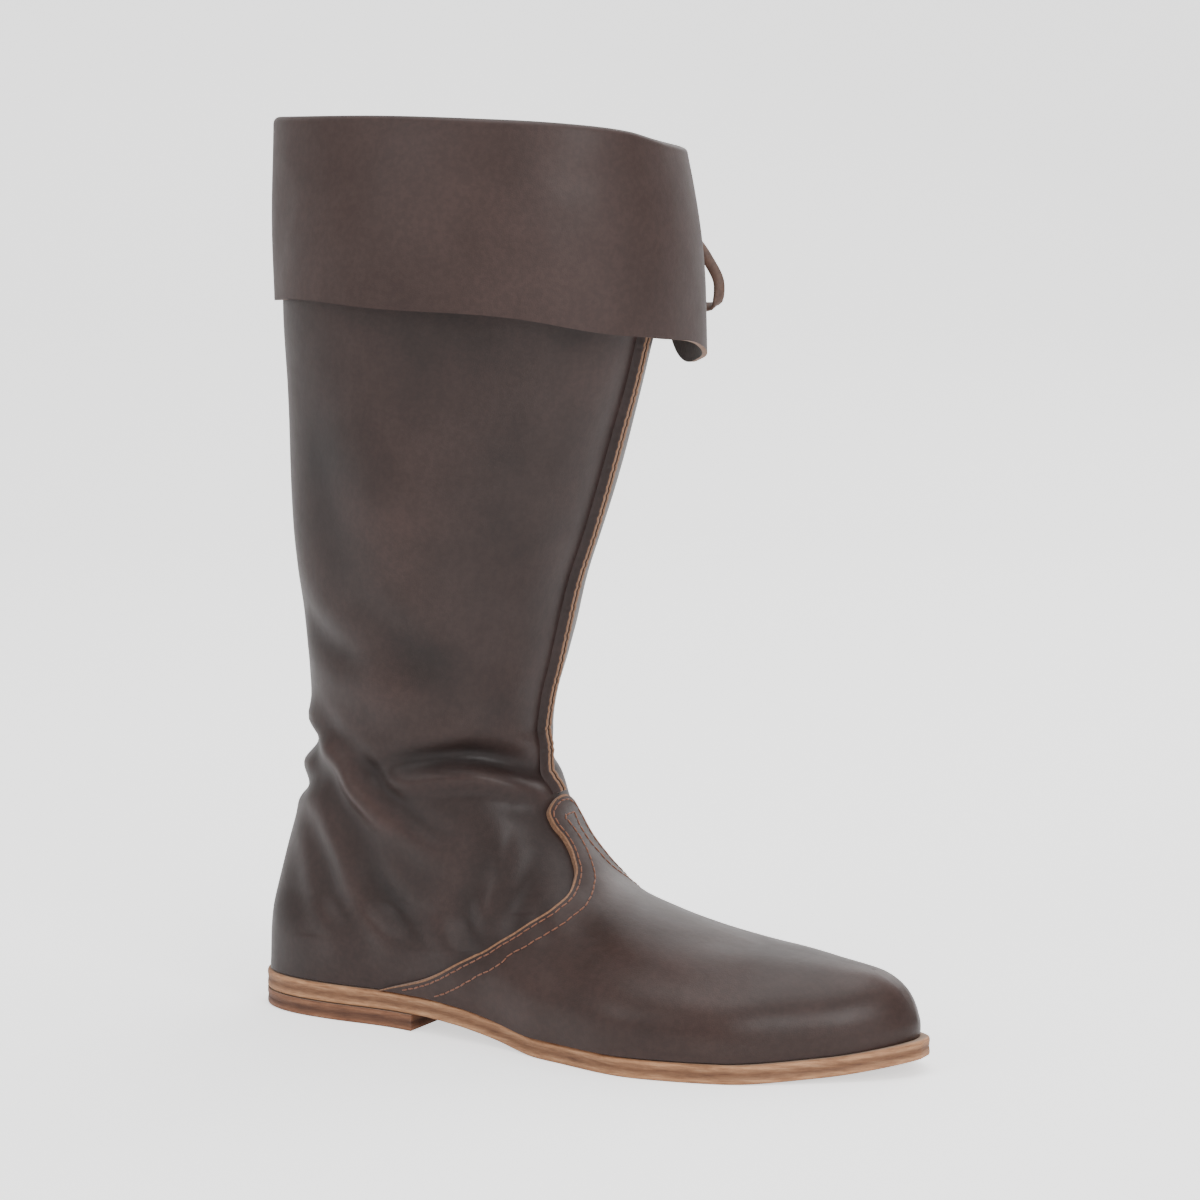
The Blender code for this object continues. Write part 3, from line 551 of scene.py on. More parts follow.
def sole_edge_leather(name, dark, light, pale):
    """The cut edge of sole leather: fibres along the edge, pale lines where its two bevels are rubbed."""
    material = start_material(name, light, 0.62)
    fibres = noise(material, 90, 6, 0.75, (1.0, 1.0, 9.0))
    colour = ramp(material, fibres, [(0.30, dark), (0.52, light), (0.75, pale)])
    lines = ramp(material, attribute(material, "layer"), [
        (0.00, (1.15, 1.12, 1.08)), (0.16, (1.55, 1.55, 1.5)), (0.30, (0.98, 0.97, 0.95)),
        (0.44, (0.62, 0.55, 0.50)), (0.56, (0.70, 0.62, 0.56)), (0.70, (1.0, 1.0, 1.0)),
        (0.86, (1.5, 1.5, 1.45)), (1.00, (1.2, 1.2, 1.2)),
    ])
    colour = blended(material, "MULTIPLY", 1.0, colour, lines)
    join(material, colour, shader_of(material).inputs["Base Color"])
    fine = noise(material, 700, 4, 0.7, (1.0, 1.0, 4.0))
    join(material, bumped(material, fine, 0.45, 0.0003), shader_of(material).inputs["Normal"])
    return material


shaft_leather = smooth_leather("shaft_leather", (0.021, 0.0115, 0.0100), (0.038, 0.0215, 0.0190), 0.44)
vamp_leather = smooth_leather("vamp_leather", (0.028, 0.0145, 0.0118), (0.046, 0.0245, 0.0205), 0.40)
cuff_leather = smooth_leather("cuff_leather", (0.034, 0.0180, 0.0155), (0.047, 0.0265, 0.0230), 0.52)
# The flesh side's own brown, darkened with painted shade to the gloom inside the boot and under the cuff
flesh_with_painted_shade = rough_leather("flesh_with_painted_shade", (0.055, 0.036, 0.030), (0.095, 0.066, 0.054))
raw_edge = rough_leather("raw_edge", (0.12, 0.054, 0.027), (0.27, 0.138, 0.072), 900)
# Near-black painted shade for the floor of the front seam's groove
groove_painted_shade = rough_leather("groove_painted_shade", (0.020, 0.011, 0.008), (0.055, 0.028, 0.018), 700)
thong_leather = rough_leather("thong_leather", (0.055, 0.026, 0.017), (0.115, 0.058, 0.038), 380, 0.0002)
shader_of(thong_leather).inputs["Roughness"].default_value = 0.55
thread = rough_leather("thread", (0.150, 0.054, 0.030), (0.270, 0.108, 0.060), 1400)
sole_leather = sole_edge_leather(
    "sole_leather", (0.135, 0.058, 0.026), (0.28, 0.138, 0.067), (0.42, 0.245, 0.135))
lift_leather = sole_edge_leather(
    "lift_leather", (0.080, 0.029, 0.014), (0.155, 0.064, 0.031), (0.25, 0.125, 0.070))

# The vamp's colour gives way to raw tan leather in the last millimetre before its edge
BARE_EDGE_MM = 0.85
fibre_noise = noise(vamp_leather, 900, 5, 0.7)
tan_cut = ramp(vamp_leather, fibre_noise, [(0.3, (0.13, 0.058, 0.028)), (0.7, (0.29, 0.145, 0.075))])
bare = worked(vamp_leather, "LESS_THAN", attribute(vamp_leather, "edge"), BARE_EDGE_MM)
vamp_colour = shader_of(vamp_leather).inputs["Base Color"]
waxed = vamp_colour.links[0].from_socket
join(vamp_leather, blended(vamp_leather, "MIX", bare, waxed, tan_cut), vamp_colour)

tread_leather = rough_leather("tread_leather", (0.20, 0.115, 0.066), (0.34, 0.215, 0.135), 60, 0.0004)
insole_leather = rough_leather("insole_leather", (0.22, 0.125, 0.072), (0.34, 0.215, 0.135), 120)
# Near-black painted shade for the thong's holes, which are not cut
hole_painted_shade = start_material("hole_painted_shade", (0.006, 0.004, 0.003), 0.9)


def grid_faces(rows, columns, first=0, joined=0):
    """Quads of a grid of points. The rows below joined close into rings."""
    i, j = np.meshgrid(np.arange(rows - 1), np.arange(columns), indexing="ij")
    keep = (j < columns - 1) | (i < joined)
    i, j = i[keep], j[keep]
    k = (j + 1) % columns
    quads = np.column_stack([i * columns + j, i * columns + k, (i + 1) * columns + k, (i + 1) * columns + j])
    return first + quads


def make_piece(name, points, parts, materials, nodes=(), slot=None, sharp=50, **values):
    """A mesh from parts of faces, one material each, turned to face outwards."""
    points = np.asarray(points, float).reshape(-1, 3)
    faces = []
    kinds = []
    for part, kind in parts:
        part = part.tolist() if isinstance(part, np.ndarray) else part
        faces += part
        kinds += [kind] * len(part)
    corners = points[np.array([face[:3] for face in faces])] - points.mean(axis=0)
    if (corners[:, 0] * np.cross(corners[:, 1], corners[:, 2])).sum() < 0:
        faces = [face[::-1] for face in faces]
    mesh = bpy.data.meshes.new(name)
    mesh.from_pydata(points.tolist(), [], faces)
    mesh.shade_smooth()
    mesh.set_sharp_from_angle(angle=math.radians(sharp))
    for material in materials:
        mesh.materials.append(material)
    mesh.polygons.foreach_set("material_index", np.array(kinds, np.int32))
    for key, value in values.items():
        layer = mesh.attributes.new(key, "FLOAT", "POINT")
        layer.data.foreach_set("value", np.asarray(value, np.float32).reshape(-1))
    piece = bpy.data.objects.new(name, mesh)
    bpy.context.scene.collection.objects.link(piece)
    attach(piece, "root")
    if nodes:
        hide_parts(*nodes)
    return piece


def shell_parts(rows, columns, joined=0):
    """Faces of a wall between two grids: outer face, inner face and cut edges."""
    count = rows * columns
    index = np.arange(count).reshape(rows, columns)
    loops = []
    if joined:
        loops.append(np.append(index[0], index[0, 0]))
        far_end = index[joined:-1, -1][::-1]
        loops.append(np.concatenate([index[joined:, 0], index[-1, 1:], far_end, index[joined, :1]]))
    else:
        loops.append(np.concatenate([index[:, 0], index[-1, 1:], index[:-1, -1][::-1], index[0, :-1][::-1]]))
    edges = []
    for loop in loops:
        edges.append(np.column_stack([loop[:-1], loop[1:], loop[1:] + count, loop[:-1] + count]))
    if joined:
        edges[0] = edges[0][:, ::-1]
    outer = grid_faces(rows, columns, 0, joined)[:, ::-1]
    inner = grid_faces(rows, columns, count, joined)
    return [(outer, 0), (inner, 1), (np.concatenate(edges)[:, ::-1], 2)]


# Relief as a share from 0 to 1, which the leather turns into painted shade in troughs and paler ridges
def height_value(level, angle):
    return np.clip(0.5 + relief(level, angle) / 0.006, 0, 1)


# Upper: shaft and quarters in one piece of waxed leather, 2 mm thick, open at the collar and under the foot.
# A slit on the outer side runs from just above the sole to the rim, and its cut edges stay raw.
def crowded(count, crowding):
    even = np.linspace(0, 1, count + 1)
    return (1 - crowding) * even + crowding * (1 - np.cos(math.pi * even)) / 2


upper_levels = spaced_levels(TOE_BASE, WALL_TOP, 212, 0.55)
slit_row = int(np.argmin(np.abs(upper_levels - SLIT_BOTTOM)))
upper_levels[slit_row] = SLIT_BOTTOM
front_edge, rear_edge = slit_angles(upper_levels)
upper_angles = np.concatenate([
    front_edge[:, None] * (1 - crowded(56, 0.3)[None, :-1]),
    -math.pi * crowded(108, 0.0)[None, :-1] * np.ones((len(upper_levels), 1)),
    -math.pi + (rear_edge[:, None] - math.pi) * crowded(50, 0.2)[None, :],
], axis=1)
upper_rows = np.repeat(upper_levels[:, None], upper_angles.shape[1], axis=1)
upper_outer = dressed(upper_rows, upper_angles)
upper_inner = dressed(upper_rows, upper_angles, -WALL)
rows, columns = upper_rows.shape
upper_height = height_value(upper_rows, upper_angles)
make_piece(
    "boot_upper", [upper_outer, upper_inner], shell_parts(rows, columns, slit_row),
    [shaft_leather, flesh_with_painted_shade, raw_edge], ["upper"], "upper_leather",
    height=[upper_height, upper_height],
)


# Vamp: a separate piece over the forefoot, lapped onto the upper in a rounded arch at the instep and sewn
# with two rows. Its raw edge is a pale line all along the lap.
def vamp_edge_x(z):
    return along_sole(ease((z - TOE_BASE) / (VAMP_APEX - TOE_BASE), VAMP_EDGE))


edge_z = np.linspace(TOE_BASE, VAMP_APEX, 600)
edge_x = vamp_edge_x(edge_z)
edge_feather = sole_top(edge_x) + SEAT
edge_level = np.where(
    edge_z < LEVEL_ABOVE_FOOT,
    TOE_BASE + (edge_z - edge_feather) * (LEVEL_ABOVE_FOOT - TOE_BASE) / (LEVEL_ABOVE_FOOT - edge_feather),
    edge_z,
)
kept = (edge_level >= TOE_BASE - 0.0002) & (edge_x < front_line(edge_z))
vamp_closing = float(edge_level[kept].max())
vamp_levels = spaced_levels(TOE_BASE, vamp_closing - 2e-5, 170)
vamp_levels = np.concatenate([vamp_levels[:-1], vamp_closing - 4e-4 * np.linspace(1, 0.05, 6) ** 2])
vamp_levels = np.sort(vamp_levels)
vamp_side = angle_at(vamp_levels, np.interp(vamp_levels, edge_level[kept], edge_x[kept]))
vamp_angles = vamp_side[:, None] * np.linspace(1, -1, 221)[None, :]
vamp_rows = np.repeat(vamp_levels[:, None], 221, axis=1)
vamp_outer = dressed(vamp_rows, vamp_angles, SEAT + VAMP_THICKNESS)
vamp_inner = dressed(vamp_rows, vamp_angles, -0.0001)
vamp_parts = shell_parts(*vamp_rows.shape)
vamp_height = height_value(vamp_rows, vamp_angles)
lap_edge = np.concatenate([vamp_outer[:, 0], vamp_outer[-1], vamp_outer[:, -1]])
from_edge = [np.linalg.norm(row[:, None] - lap_edge, axis=2).min(axis=1) * 1000 for row in vamp_outer]
make_piece(
    "boot_vamp", [vamp_outer, vamp_inner], [vamp_parts[0], vamp_parts[2]],
    [vamp_leather, flesh_with_painted_shade, raw_edge], ["vamp"], "vamp_leather",
    height=[vamp_height, vamp_height], edge=[from_edge, from_edge],
)


# Stitches: waxed linen thread, each stitch a short bar sunk into the leather.
def walked(level, angle, heading, distance):
    """Where lines over the upper end, from each place along a heading."""
    steps = 5
    for _ in range(steps):
        here = upper_point(level, angle)
        by_level = (upper_point(level + 1e-4, angle) - here) / 1e-4
        by_angle = (upper_point(level, angle + 1e-3) - here) / 1e-3
        a, b, c = (by_level**2).sum(-1), (by_level * by_angle).sum(-1), (by_angle**2).sum(-1)
        p, q = (heading * by_level).sum(-1), (heading * by_angle).sum(-1)
        up = (p * c - q * b) / (a * c - b * b)
        turn = (a * q - b * p) / (a * c - b * b)
        length = np.linalg.norm(up[:, None] * by_level + turn[:, None] * by_angle, axis=-1)
        level = level + up / length * distance / steps
        angle = angle + turn / length * distance / steps
    return level, angle


def evenly(level, angle, count):
    """The same line at even steps."""
    places = upper_point(level, angle)
    run = np.concatenate([[0], np.cumsum(np.linalg.norm(np.diff(places, axis=0), axis=1))])
    at = np.linspace(0, run[-1], count)
    return np.interp(at, run, level), np.interp(at, run, angle), run[-1]


def make_stitches(name, lines, stitch=0.0030, gap=0.0004, radius=0.00033):
    """Rows of stitches along lines over the upper, each given as levels, angles and height over its face."""
    turn = np.linspace(0, 2 * math.pi, 7)[:-1]
    ring = [(-0.5, 0.25), (-0.42, 0.8), (0.0, 1.0), (0.42, 0.8), (0.5, 0.25)]
    form = np.array([(u, r * math.cos(t), r * math.sin(t)) for u, r in ring for t in turn])
    form_faces = [[i * 6 + k, i * 6 + (k + 1) % 6, (i + 1) * 6 + (k + 1) % 6, (i + 1) * 6 + k]
                  for i in range(4) for k in range(6)]
    points = []
    faces = []
    for level, angle, out in lines:
        level, angle, length = evenly(level, angle, 400)
        count = int(length / (stitch + gap))
        level, angle, _ = evenly(level, angle, 2 * count + 1)
        places = dressed(level, angle, out)
        middle = places[1::2]
        along = unit(places[2::2] - places[:-2:2])
        out_way = upper_normal(level[1::2], angle[1::2])
        side = unit(np.cross(along, out_way))
        for k in range(len(middle)):
            first = len(points) * len(form)
            lean = along[k] + 0.08 * math.sin(2.3 * k) * side[k]
            round_it = form[:, 1:2] * side[k] + form[:, 2:] * out_way[k]
            points.append(middle[k] + form[:, :1] * stitch * lean + radius * round_it)
            faces += [[first + corner for corner in face] for face in form_faces]
    return make_piece(name, np.concatenate(points), [(faces, 0)], [thread], slot="raw_edge", sharp=80)


half_levels, half_angles, _ = evenly(
    edge_level[kept], angle_at(edge_level[kept], edge_x[kept]), 120)
lap_levels = np.concatenate([half_levels, half_levels[-2::-1]])
lap_angles = np.concatenate([-half_angles, half_angles[-2::-1]])
lap_points = upper_point(lap_levels, lap_angles)
lap_along = unit(np.gradient(lap_points, axis=0))
lap_inward = unit(np.cross(lap_along, upper_normal(lap_levels, lap_angles)))
if lap_inward[60, 0] < 0:
    lap_inward = -lap_inward
sewn = []
for distance in (0.0022, 0.0082):
    row_levels, row_angles = walked(lap_levels, lap_angles, lap_inward, distance)
    row_points = upper_point(row_levels, row_angles)
    clear = np.linalg.norm(row_points[:, None] - lap_points, axis=2).min(axis=1) > 0.93 * distance
    inside = clear & (row_levels > TOE_BASE + 0.0015)
    sewn.append((row_levels[inside], row_angles[inside], SEAT + VAMP_THICKNESS + 0.00005))
make_stitches("vamp_stitches", sewn)
line_levels = np.linspace(SLIT_BOTTOM - 0.004, 0.92 * BOOT_HEIGHT, 300)
line_x = along_sole(ease(line_levels / BOOT_HEIGHT, SLIT, 1)) + SLIT_GAP / 2 + 0.013
make_stitches("slit_stitches", [(line_levels, angle_at(line_levels, line_x), 0.00005)], stitch=0.0020)

# Front seam: the shaft's two edges stand up side by side, raw on top, with painted shade in the groove
# between them.
seam_levels = np.linspace(VAMP_APEX + 2 * CLEARANCE, 0.92 * BOOT_HEIGHT, 260)
half = SEAM_WIDTH / 2
groove = SEAM_GROOVE / 2
top = 3 * CLEARANCE + SEAM_HEIGHT
floor_of_groove = top - SEAM_GROOVE
seam_profile = [
    # place across, height over the upper, and finish: 0 raw, 1 waxed, 2 painted shade of the groove
    (-half - 0.0009, -0.0003, 1), (-half - 0.0002, 0.0006, 1), (-half, top - 0.0008, 1),
    (-half + 0.0003, top - 0.0002, 0), (-half + 0.0009, top, 0), (-groove - 0.0005, top, 0),
    (-groove, top - 0.0002, 0), (-groove * 0.6, floor_of_groove, 2), (0, floor_of_groove - 0.0002, 2),
    (groove * 0.6, floor_of_groove, 2), (groove, top - 0.0002, 0), (groove + 0.0005, top, 0),
    (half - 0.0009, top, 0), (half - 0.0003, top - 0.0002, 0), (half, top - 0.0008, 1),
    (half + 0.0002, 0.0006, 1), (half + 0.0009, -0.0003, 1),
]
seam_zero = np.zeros(len(seam_levels))
seam_base = dressed(seam_levels, seam_zero)
seam_out = upper_normal(seam_levels, seam_zero)
waver = 0.00016 * np.sin(seam_levels * 2100) + 0.00012 * np.sin(seam_levels * 5300 + 1)
seam_points = []
for aside, out, _ in seam_profile:
    shift = np.array([0, 1, 0]) * (aside + waver[:, None] * (out > 0.001))
    seam_points.append(seam_base + shift + seam_out * (out + 0.4 * waver[:, None] * (out > 0.001)))
seam_points = np.stack(seam_points, axis=1)
count = len(seam_profile)
seam_quads = grid_faces(len(seam_levels), count)
seam_kinds = np.array([max(seam_profile[k][2], seam_profile[k + 1][2]) for k in range(count - 1)])
quad_kinds = seam_kinds[seam_quads[:, 0] % count]
caps = [list(range(count)), [(len(seam_levels) - 1) * count + k for k in range(count)][::-1]]
seam_faces = [(seam_quads[quad_kinds == kind], kind) for kind in (0, 1, 2)]
make_piece(
    "seam_ridge", seam_points, seam_faces + [(caps, 0)],
    [raw_edge, shaft_leather, groove_painted_shade], ["front_seam"], "raw_edge",
    height=np.full(seam_points.shape[:2], 0.5),
)


# Cuff: the top of the leather turned down outside over the shaft, slit on the outer side where its two
# flaps hang free. Its hem and ends are cut raw.
def cuff_points(columns, rows, out):
    """One face of the cuff, out being its distance from the leather's middle."""
    fold = (WALL + FOLD_GAP) / 2
    grid = []
    for kind, value in rows:
        share = value if kind == "drop" else 0.0
        front_end = CUFF_ENDS["front rim"] + (CUFF_ENDS["front hem"] - CUFF_ENDS["front rim"]) * share
        rear_end = CUFF_ENDS["rear rim"] + (CUFF_ENDS["rear hem"] - CUFF_ENDS["rear rim"]) * share - 360
        degrees = front_end + (rear_end - front_end) * columns
        angle = np.radians(degrees)
        base = upper_point(np.full(len(angle), WALL_TOP), angle)
        normal = upper_normal(np.full(len(angle), WALL_TOP), angle)
        middle = base - normal * WALL / 2
        rim = rim_height(angle) - fold - WALL / 2
        if kind == "foot":
            away = -out + 0 * angle
            up = rim_height(angle) - WALL - FOLD_GAP + CLEARANCE
        elif kind == "fold":
            away = fold - (fold + out) * math.cos(value) + 0 * angle
            up = rim + (fold + out) * math.sin(value)
        else:
            flare = CUFF_FLARE * ease(degrees, CUFF_SHAPE, 2)
            length = CUFF_DROP * ease(degrees, CUFF_SHAPE, 1)
            reach = SHAFT_DEPTH / 2
            from_end = np.minimum(columns, 1 - columns) * math.radians(front_end - rear_end) * reach
            inside = np.clip(CUFF_CORNER - from_end, 0, CUFF_CORNER)
            length = length - (CUFF_CORNER - np.sqrt(CUFF_CORNER**2 - inside**2))
            away = 2 * fold + out + flare * np.sin(math.pi / 2 * np.clip(share / 0.7, 0, 1))
            wave = 0.0006 * np.sin(angle * 3.1 + 0.4) + 0.0004 * np.sin(angle * 7.3 + 5 * share)
            away = away + wave * share
            up = rim - share * (length - fold - WALL / 2) + 0.0009 * share * np.sin(angle * 5.7 + 1.1)
        point = middle + normal * away[:, None]
        point[:, 2] = up
        grid.append(point)
    return np.array(grid)


near_flap = 0.09 * (1 - np.cos(np.linspace(0, math.pi / 2, 26)))
cuff_columns = np.concatenate([near_flap[:-1], np.linspace(0.09, 0.91, 190), 1 - near_flap[-2::-1]])
cuff_rows = [("foot", 0.0)] + [("fold", turn) for turn in np.linspace(0, math.pi, 14)]
cuff_rows += [("drop", drop) for drop in np.linspace(0, 1, 61)[1:]]
cuff_outer = cuff_points(cuff_columns, cuff_rows, WALL / 2)
cuff_inner = cuff_points(cuff_columns, cuff_rows, -WALL / 2)
make_piece(
    "boot_cuff", [cuff_outer, cuff_inner], shell_parts(*cuff_outer.shape[:2]),
    [cuff_leather, flesh_with_painted_shade, raw_edge], ["cuff"], "cuff_leather",
    height=np.full((2, *cuff_outer.shape[:2]), 0.5),
)


# Outsole and heel lift: sole leather cut to the last's outline, edges trimmed and left natural, with a
# rubbed bevel along top and bottom.
def make_plate(name, stations, profile, bottom, top, materials, nodes, slot):
    """A sole layer through rings given by inset and share of the thickness."""
    half_width, shift = outline(stations, BALL_WIDTH)
    x = along_sole(stations)
    count = len(stations)
    rings = []
    layer = []
    for inset, share in profile:
        narrow = np.maximum(half_width - inset, half_width * 0.02)
        middle = (x[0] + x[-1]) / 2
        ring_x = middle + (x - middle) * (1 - 2 * inset / (x[-1] - x[0]))
        z = bottom(x) + share * (top(x) - bottom(x))
        ring = np.concatenate([
            np.column_stack([ring_x, shift - narrow, z]),
            np.column_stack([ring_x, shift + narrow, z])[::-1],
        ])
        rings.append(ring)
        layer.append(np.full(len(ring), share))
    around = 2 * count
    sides = grid_faces(len(rings), around, 0, len(rings))
    k = np.arange(count - 1)
    last = (len(rings) - 1) * around
    under = np.column_stack([k, k + 1, around - 2 - k, around - 1 - k])
    over = last + under[:, ::-1]
    parts = [(sides, 0), (under, 1), (over, 1)]
    return make_piece(name, rings, parts, materials, nodes, slot, sharp=38, layer=layer)


sole_stations = 0.002 + 0.996 * (1 - np.cos(np.linspace(0, math.pi, 190))) / 2
edge_profile = [
    # inset, and share of the thickness
    (EDGE_BEVEL * 1.2, 0.0), (EDGE_BEVEL * 0.3, 0.05), (0.0, 0.13), (0.0, 0.24), (0.00012, 0.42),
    (0.00028, 0.50), (0.00012, 0.58), (0.0, 0.76), (0.0, 0.87), (EDGE_BEVEL * 0.3, 0.95),
    (EDGE_BEVEL * 1.2, 1.0),
]
make_plate(
    "sole_plate", sole_stations, edge_profile, sole_under, sole_top,
    [sole_leather, tread_leather], ["outsole"], "sole_leather",
)
lift_end = HEEL_LIFT_LENGTH / SOLE_LENGTH
lift_stations = 0.002 + (lift_end - 0.002) * (1 - np.cos(np.linspace(0, math.pi / 2, 70)))
make_plate(
    "heel_layer", lift_stations, edge_profile[:-2] + [(0.0, 1.0)],
    lambda x: 0 * x, lambda x: 0 * x + HEEL_LIFT_HEIGHT - CLEARANCE,
    [lift_leather, tread_leather], ["heel_lift"], "lift_leather",
)
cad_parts["insole"].material_slots[0].material = insole_leather


# Thong: one flat strip of leather laced through punched holes beside the slit. It crosses outside in seven
# pairs, runs straight up inside between them and is tied in a bow at the top.
def strap_rings(path, across, width=LACE_WIDTH, thickness=LACE_THICKNESS):
    """Rings round a flat strip with softened edges."""
    along = unit(np.gradient(path, axis=0))
    across = unit(across - (across * along).sum(-1, keepdims=True) * along)
    upward = np.cross(along, across)
    section = [(-0.5, -0.25), (-0.42, -0.5), (0, -0.5), (0.42, -0.5), (0.5, -0.25),
               (0.5, 0.25), (0.42, 0.5), (0, 0.5), (-0.42, 0.5), (-0.5, 0.25)]
    return np.stack([path + a * width * across + b * thickness * upward for a, b in section], axis=1)


def strap_faces(rings, first=0):
    count, around = rings.shape[:2]
    quads = [[first + i * around + k, first + i * around + (k + 1) % around,
              first + (i + 1) * around + (k + 1) % around, first + (i + 1) * around + k]
             for i in range(count - 1) for k in range(around)]
    last = first + (count - 1) * around
    ends = [[first + k for k in range(around)][::-1], [last + k for k in range(around)]]
    return quads + ends


def crossing_path(level, slope, hump, run):
    levels = level + slope * run * CROSS_HEIGHT / 2
    x = along_sole(ease(levels / BOOT_HEIGHT, SLIT, 1)) + run * CROSS_WIDTH / 2
    angles = angle_at(levels, x)
    inside = np.clip((np.abs(run) - 0.93) / 0.14, 0, 1)
    over = hump * np.cos(np.clip(run, -1, 1) * math.pi / 2) ** 2
    out = CLEARANCE + LACE_THICKNESS / 2 + over - 0.0042 * inside**1.5
    return levels, angles, dressed(levels, angles, out)


hole_points = []
hole_faces = []
inner_ends = {-1: [], 1: []}
for number in range(CROSSES):
    level = LOWEST_CROSS + number * CROSS_SPACING
    points = []
    faces = []
    for slope, hump in ((1, 4 * CLEARANCE), (-1, 4 * CLEARANCE + 0.8 * LACE_THICKNESS)):
        run = np.linspace(-1.07, 1.07, 45)
        levels, angles, path = crossing_path(level, slope, hump, run)
        normal = upper_normal(levels, angles)
        rings = strap_rings(path, np.cross(unit(np.gradient(path, axis=0)), normal))
        faces += strap_faces(rings, sum(len(part) for part in points))
        points.append(rings.reshape(-1, 3))
        for end in (0, -1):
            side = -1 if run[end] < 0 else 1
            inner_ends[side].append((levels[end], angles[end]))
            # Each hole is a flat near-black disc laid on the upper: painted shade in place of a punched hole
            turn = np.linspace(0, 2 * math.pi, 25)[:-1]
            hole_level = level + slope * side * CROSS_HEIGHT / 2
            hole_x = along_sole(float(ease(hole_level / BOOT_HEIGHT, SLIT, 1))) + side * CROSS_WIDTH / 2
            ring_levels = hole_level + 0.0027 * np.sin(turn)
            ring_angles = angle_at(ring_levels, hole_x + 0.0027 * np.cos(turn))
            first = len(hole_points) * 25
            disc_levels = np.append(ring_levels, hole_level)
            disc_angles = np.append(ring_angles, angle_at(hole_level, hole_x))
            hole_points.append(dressed(disc_levels, disc_angles, 0.00012))
            hole_faces += [[first + k, first + (k + 1) % 24, first + 24] for k in range(24)]
    make_piece(f"thong_cross_{number + 1}", np.concatenate(points), [(faces, 0)], [thong_leather],
               [f"lace_cross_{number + 1}"], "thong", sharp=60)
make_piece("hole_shade_discs", np.concatenate(hole_points), [(hole_faces, 0)], [hole_painted_shade], slot="upper_leather")

inner_points = []
inner_faces = []
for side in (-1, 1):
    ends = sorted(inner_ends[side])
    for below, above in zip(ends[1:-1:2], ends[2::2]):
        levels = np.linspace(below[0], above[0], 12)
        x = along_sole(ease(levels / BOOT_HEIGHT, SLIT, 1)) + side * CROSS_WIDTH / 2
        angles = angle_at(levels, x)
        path = dressed(levels, angles, -WALL - 0.0012)
        normal = upper_normal(levels, angles)
        rings = strap_rings(path, np.cross(unit(np.gradient(path, axis=0)), normal))
        inner_faces += strap_faces(rings, sum(len(part) for part in inner_points))
        inner_points.append(rings.reshape(-1, 3))
make_piece(
    "thong_inside", np.concatenate(inner_points), [(inner_faces, 0)], [thong_leather], slot="thong", sharp=60,
)

knot_share = KNOT_HEIGHT / BOOT_HEIGHT
knot_x = float(along_sole(ease(knot_share, SLIT, 1)))
knot_seat = upper_point(np.array(KNOT_HEIGHT), angle_at(KNOT_HEIGHT, knot_x))
knot = np.array([knot_x, knot_seat[1] + KNOT_SIZE[1] / 2, KNOT_HEIGHT])

# Routes of the bow's strands from the knot's centre, with the way that each strip's width lies
LOOP_FRONT = [
    (0.0073, 0.0023, 0.0023), (0.020, 0.010, 0.0010), (0.036, 0.014, -0.008), (0.052, 0.013, -0.021),
    (0.063, 0.011, -0.033), (0.0685, 0.010, -0.043), (0.067, 0.010, -0.051), (0.059, 0.011, -0.052),
    (0.046, 0.012, -0.042), (0.030, 0.011, -0.026), (0.018, 0.007, -0.013), (0.0072, 0.0015, -0.0034),
]
LOOP_DOWN = [
    (-0.0048, 0.0022, -0.0053), (-0.008, 0.010, -0.020), (-0.012, 0.014, -0.038), (-0.015, 0.015, -0.058),
    (-0.0145, 0.0155, -0.076), (-0.010, 0.016, -0.084), (-0.0055, 0.0155, -0.076), (-0.005, 0.015, -0.058),
    (-0.003, 0.013, -0.038), (-0.001, 0.010, -0.020), (-0.0004, 0.0032, -0.0062),
]
END_LONG = [
    (-0.0074, 0.0022, -0.0022), (-0.016, 0.009, -0.012), (-0.020, 0.0135, -0.030), (-0.0215, 0.0140, -0.055),
    (-0.0225, 0.0120, -0.085), (-0.0235, 0.0095, -0.115), (-0.0250, 0.0080, -0.145),
]
END_SHORT = [
    (0.0040, 0.0029, -0.0054), (0.008, 0.011, -0.020), (0.011, 0.0145, -0.040), (0.013, 0.0150, -0.065),
    (0.0145, 0.0125, -0.090), (0.0155, 0.0110, -0.108),
]
STRANDS = {
    "loop_front": (LOOP_FRONT, [
        (0, 1, 0.2), (0.1, 1, 0.3), (0.5, 0.5, 0.7), (0.6, 0.5, 0.5), (0.2, 1, 0.2), (0, 1, 0.2),
    ]),
    "loop_down": (LOOP_DOWN, [
        (0.5, 1, 0), (0.4, 1, 0), (0.1, 1, 0), (0.1, 1, 0), (0.4, 1, 0), (0.5, 1, 0),
    ]),
    "end_long": (END_LONG, [(0.4, 1, 0), (1, 0.3, 0), (1, -0.2, 0), (0.9, 0.4, 0), (1, 0.2, 0)]),
    "end_short": (END_SHORT, [(0.4, 1, 0), (1, 0.2, 0), (0.9, 0.5, 0), (1, 0.0, 0)]),
}


def smooth_route(points, count):
    """Points at even steps on a smooth curve through the route's own points."""
    points = np.array(points)
    steps = np.linalg.norm(np.diff(points, axis=0), axis=1)
    knots = np.concatenate([[0], np.cumsum(steps)])
    slopes = np.gradient(points, knots, axis=0)
    at = np.linspace(0, knots[-1], count)
    row = np.clip(np.searchsorted(knots, at, side="right") - 1, 0, len(steps) - 1)
    step = steps[row][:, None]
    part = (at - knots[row])[:, None] / step
    rest = 1 - part
    low = rest**2 * ((1 + 2 * part) * points[row] + part * step * slopes[row])
    high = part**2 * ((3 - 2 * part) * points[row + 1] - rest * step * slopes[row + 1])
    return low + high


